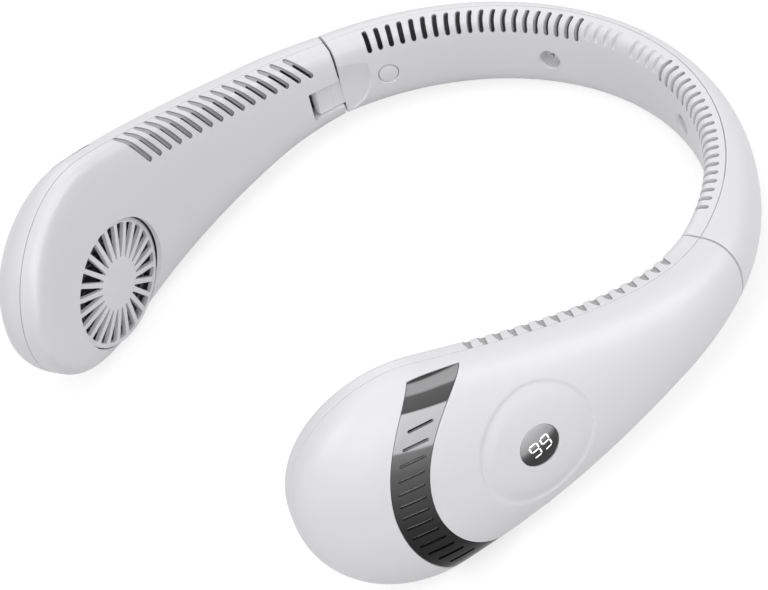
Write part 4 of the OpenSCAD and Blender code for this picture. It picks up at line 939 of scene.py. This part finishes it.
wheel_plastic = plastic("wheel_plastic", (0.07, 0.07, 0.073), 0.4, mottle=0.2)
inner_plastic = plastic("inner_plastic", (0.3, 0.3, 0.3), 0.55, mottle=0.1)
black_plastic = plastic("black_plastic", (0.02, 0.02, 0.02), 0.5)
steel = plastic("steel", (0.55, 0.55, 0.56), 0.28, wear=0.15, metal=1.0)
iron = plastic("stator_iron", (0.2, 0.2, 0.21), 0.5, mottle=0.3, metal=1.0)
magnet = plastic("magnet", (0.05, 0.05, 0.05), 0.6, mottle=0.3)
bronze = plastic("bearing_bronze", (0.5, 0.3, 0.12), 0.35, metal=1.0)
copper = plastic("coil_wire", (0.55, 0.22, 0.08), 0.35, mottle=0.4, grain=0.00004, metal=1.0)
foil = plastic("battery_wrap", (0.35, 0.36, 0.38), 0.35, mottle=0.1, metal=0.6)
board_green = plastic("board", (0.01, 0.07, 0.025), 0.4, mottle=0.5)
FINISHES = {
    "fan_wheel": wheel_plastic, "magnet_ring": magnet, "motor_shaft": steel, "bearing": bronze,
    "stator": iron, "coils": copper, "motor_plate": inner_plastic, "motor_screws": steel,
    "scroll": inner_plastic, "partition": inner_plastic, "battery": foil, "hinge_pin": steel,
    "band_screws": steel, "switch_plunger": black_plastic, "switch_body": steel,
    "digit_module": lit, "control_board": board_green, "charging_socket": steel,
}
for name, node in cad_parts.items():
    kind = name.replace("right_", "").replace("left_", "")
    if kind in FINISHES:
        node.data.materials.clear()
        node.data.materials.append(FINISHES[kind])
        node.data.set_sharp_from_angle(angle=np.radians(30))


# Floor, light and camera
# A white sheet lies under the part and is lit by five soft boxes. The camera stands above the
# open ends of the arms, off to the right, and looks through a long lens.

def background_ray(n, link):
    """1 for a ray that shows the background: straight, off a gloss or through a clear piece."""
    path = n.new("ShaderNodeLightPath")
    direct, shown = n.new("ShaderNodeMath"), n.new("ShaderNodeMath")
    direct.operation = shown.operation = "MAXIMUM"
    link(path.outputs["Is Camera Ray"], direct.inputs[0])
    link(path.outputs["Is Glossy Ray"], direct.inputs[1])
    link(direct.outputs[0], shown.inputs[0])
    link(path.outputs["Is Transmission Ray"], shown.inputs[1])
    return shown.outputs[0]


# The sheet glows a little less within SHADOW_R of the part, so that the lamps' light and the
# part's shadow show on it. The world lights the part with less than the white that is seen
FLOOR = 30
SHADOW_WHITE, SHADOW_R, FAR_WHITE, FAR_R = 0.7, 0.3, 1.0, 1.2
WORLD_LIGHT, WORLD_WHITE = 0.3, 1.0

sheet = bpy.data.meshes.new("floor")
sheet.from_pydata([(-FLOOR, -FLOOR, 0), (FLOOR, -FLOOR, 0), (FLOOR, FLOOR, 0), (-FLOOR, FLOOR, 0)],
                  [], [(0, 1, 2, 3)])
floor = bpy.data.objects.new("floor", sheet)
bpy.context.scene.collection.objects.link(floor)
paper = bpy.data.materials.new("floor_white")
paper.use_nodes = True
n, link = paper.node_tree.nodes, paper.node_tree.links.new
paper_shader = n["Principled BSDF"]
paper_shader.inputs["Base Color"].default_value = (0.4, 0.4, 0.4, 1)
paper_shader.inputs["Roughness"].default_value = 0.9
paper_shader.inputs["Specular IOR Level"].default_value = 0.1
paper_shader.inputs["Emission Color"].default_value = (1, 1, 1, 1)
where = n.new("ShaderNodeTexCoord")
away = n.new("ShaderNodeVectorMath")
away.operation = "LENGTH"
link(where.outputs["Object"], away.inputs[0])
sheet_white = n.new("ShaderNodeMapRange")
for socket, value in (("From Min", SHADOW_R), ("From Max", FAR_R),
                      ("To Min", SHADOW_WHITE), ("To Max", FAR_WHITE)):
    sheet_white.inputs[socket].default_value = value
link(away.outputs["Value"], sheet_white.inputs["Value"])
amount = n.new("ShaderNodeMath")
amount.operation = "MULTIPLY"
link(sheet_white.outputs[0], amount.inputs[1])
link(background_ray(n, link), amount.inputs[0])
link(amount.outputs[0], paper_shader.inputs["Emission Strength"])
sheet.materials.append(paper)

scene = bpy.context.scene
world = bpy.data.worlds.new("studio")
world.use_nodes = True
n, link = world.node_tree.nodes, world.node_tree.links.new
sky = n["Background"]
sky.inputs["Color"].default_value = (1, 1, 1, 1)
strength = n.new("ShaderNodeMapRange")
strength.inputs["To Min"].default_value = WORLD_LIGHT
strength.inputs["To Max"].default_value = WORLD_WHITE
link(background_ray(n, link), strength.inputs["Value"])
link(strength.outputs[0], sky.inputs["Strength"])
scene.world = world


def soft_box(name, at, size, power):
    """A square soft light at a point, turned to the part."""
    lamp = bpy.data.lights.new(name, "AREA")
    lamp.size, lamp.energy = size, power
    holder = bpy.data.objects.new(name, lamp)
    scene.collection.objects.link(holder)
    holder.location = at
    away = np.array(at, float) - [0, 0, 0.02]
    holder.rotation_euler = Vector(away).to_track_quat("Z", "Y").to_euler()
    return holder


soft_box("top_light", (-0.15, 0.05, 1.2), 1.0, 3.2)
soft_box("right_light", (1.0, -0.55, 0.5), 0.8, 4.2)
soft_box("back_light", (0.7, 0.8, 0.5), 0.7, 4.6)
soft_box("front_light", (0.2, -0.9, 0.9), 0.7, 4.9)
soft_box("left_light", (-0.9, 0.5, 0.6), 0.7, 2.5)

# The camera's axes and place are known in the band's frame, so they lean back with the part
look = bpy.data.cameras.new("camera")
look.lens, look.sensor_width = 150, 36
look.clip_start, look.clip_end = 0.05, 20
camera = bpy.data.objects.new("camera", look)
scene.collection.objects.link(camera)
right = LEAN_BACK @ [0.66163, 0.72225, -0.20150]
up = LEAN_BACK @ [-0.38683, 0.55898, 0.73342]
back = LEAN_BACK @ [0.64234, -0.40731, 0.64923]
eye = at_rest([553.755, -375.571, 549.424])
rows = np.stack([right, up, back, eye], -1).tolist()
camera.matrix_world = Matrix(rows + [[0, 0, 0, 1]])
scene.camera = camera
scene.view_settings.view_transform = "Standard"
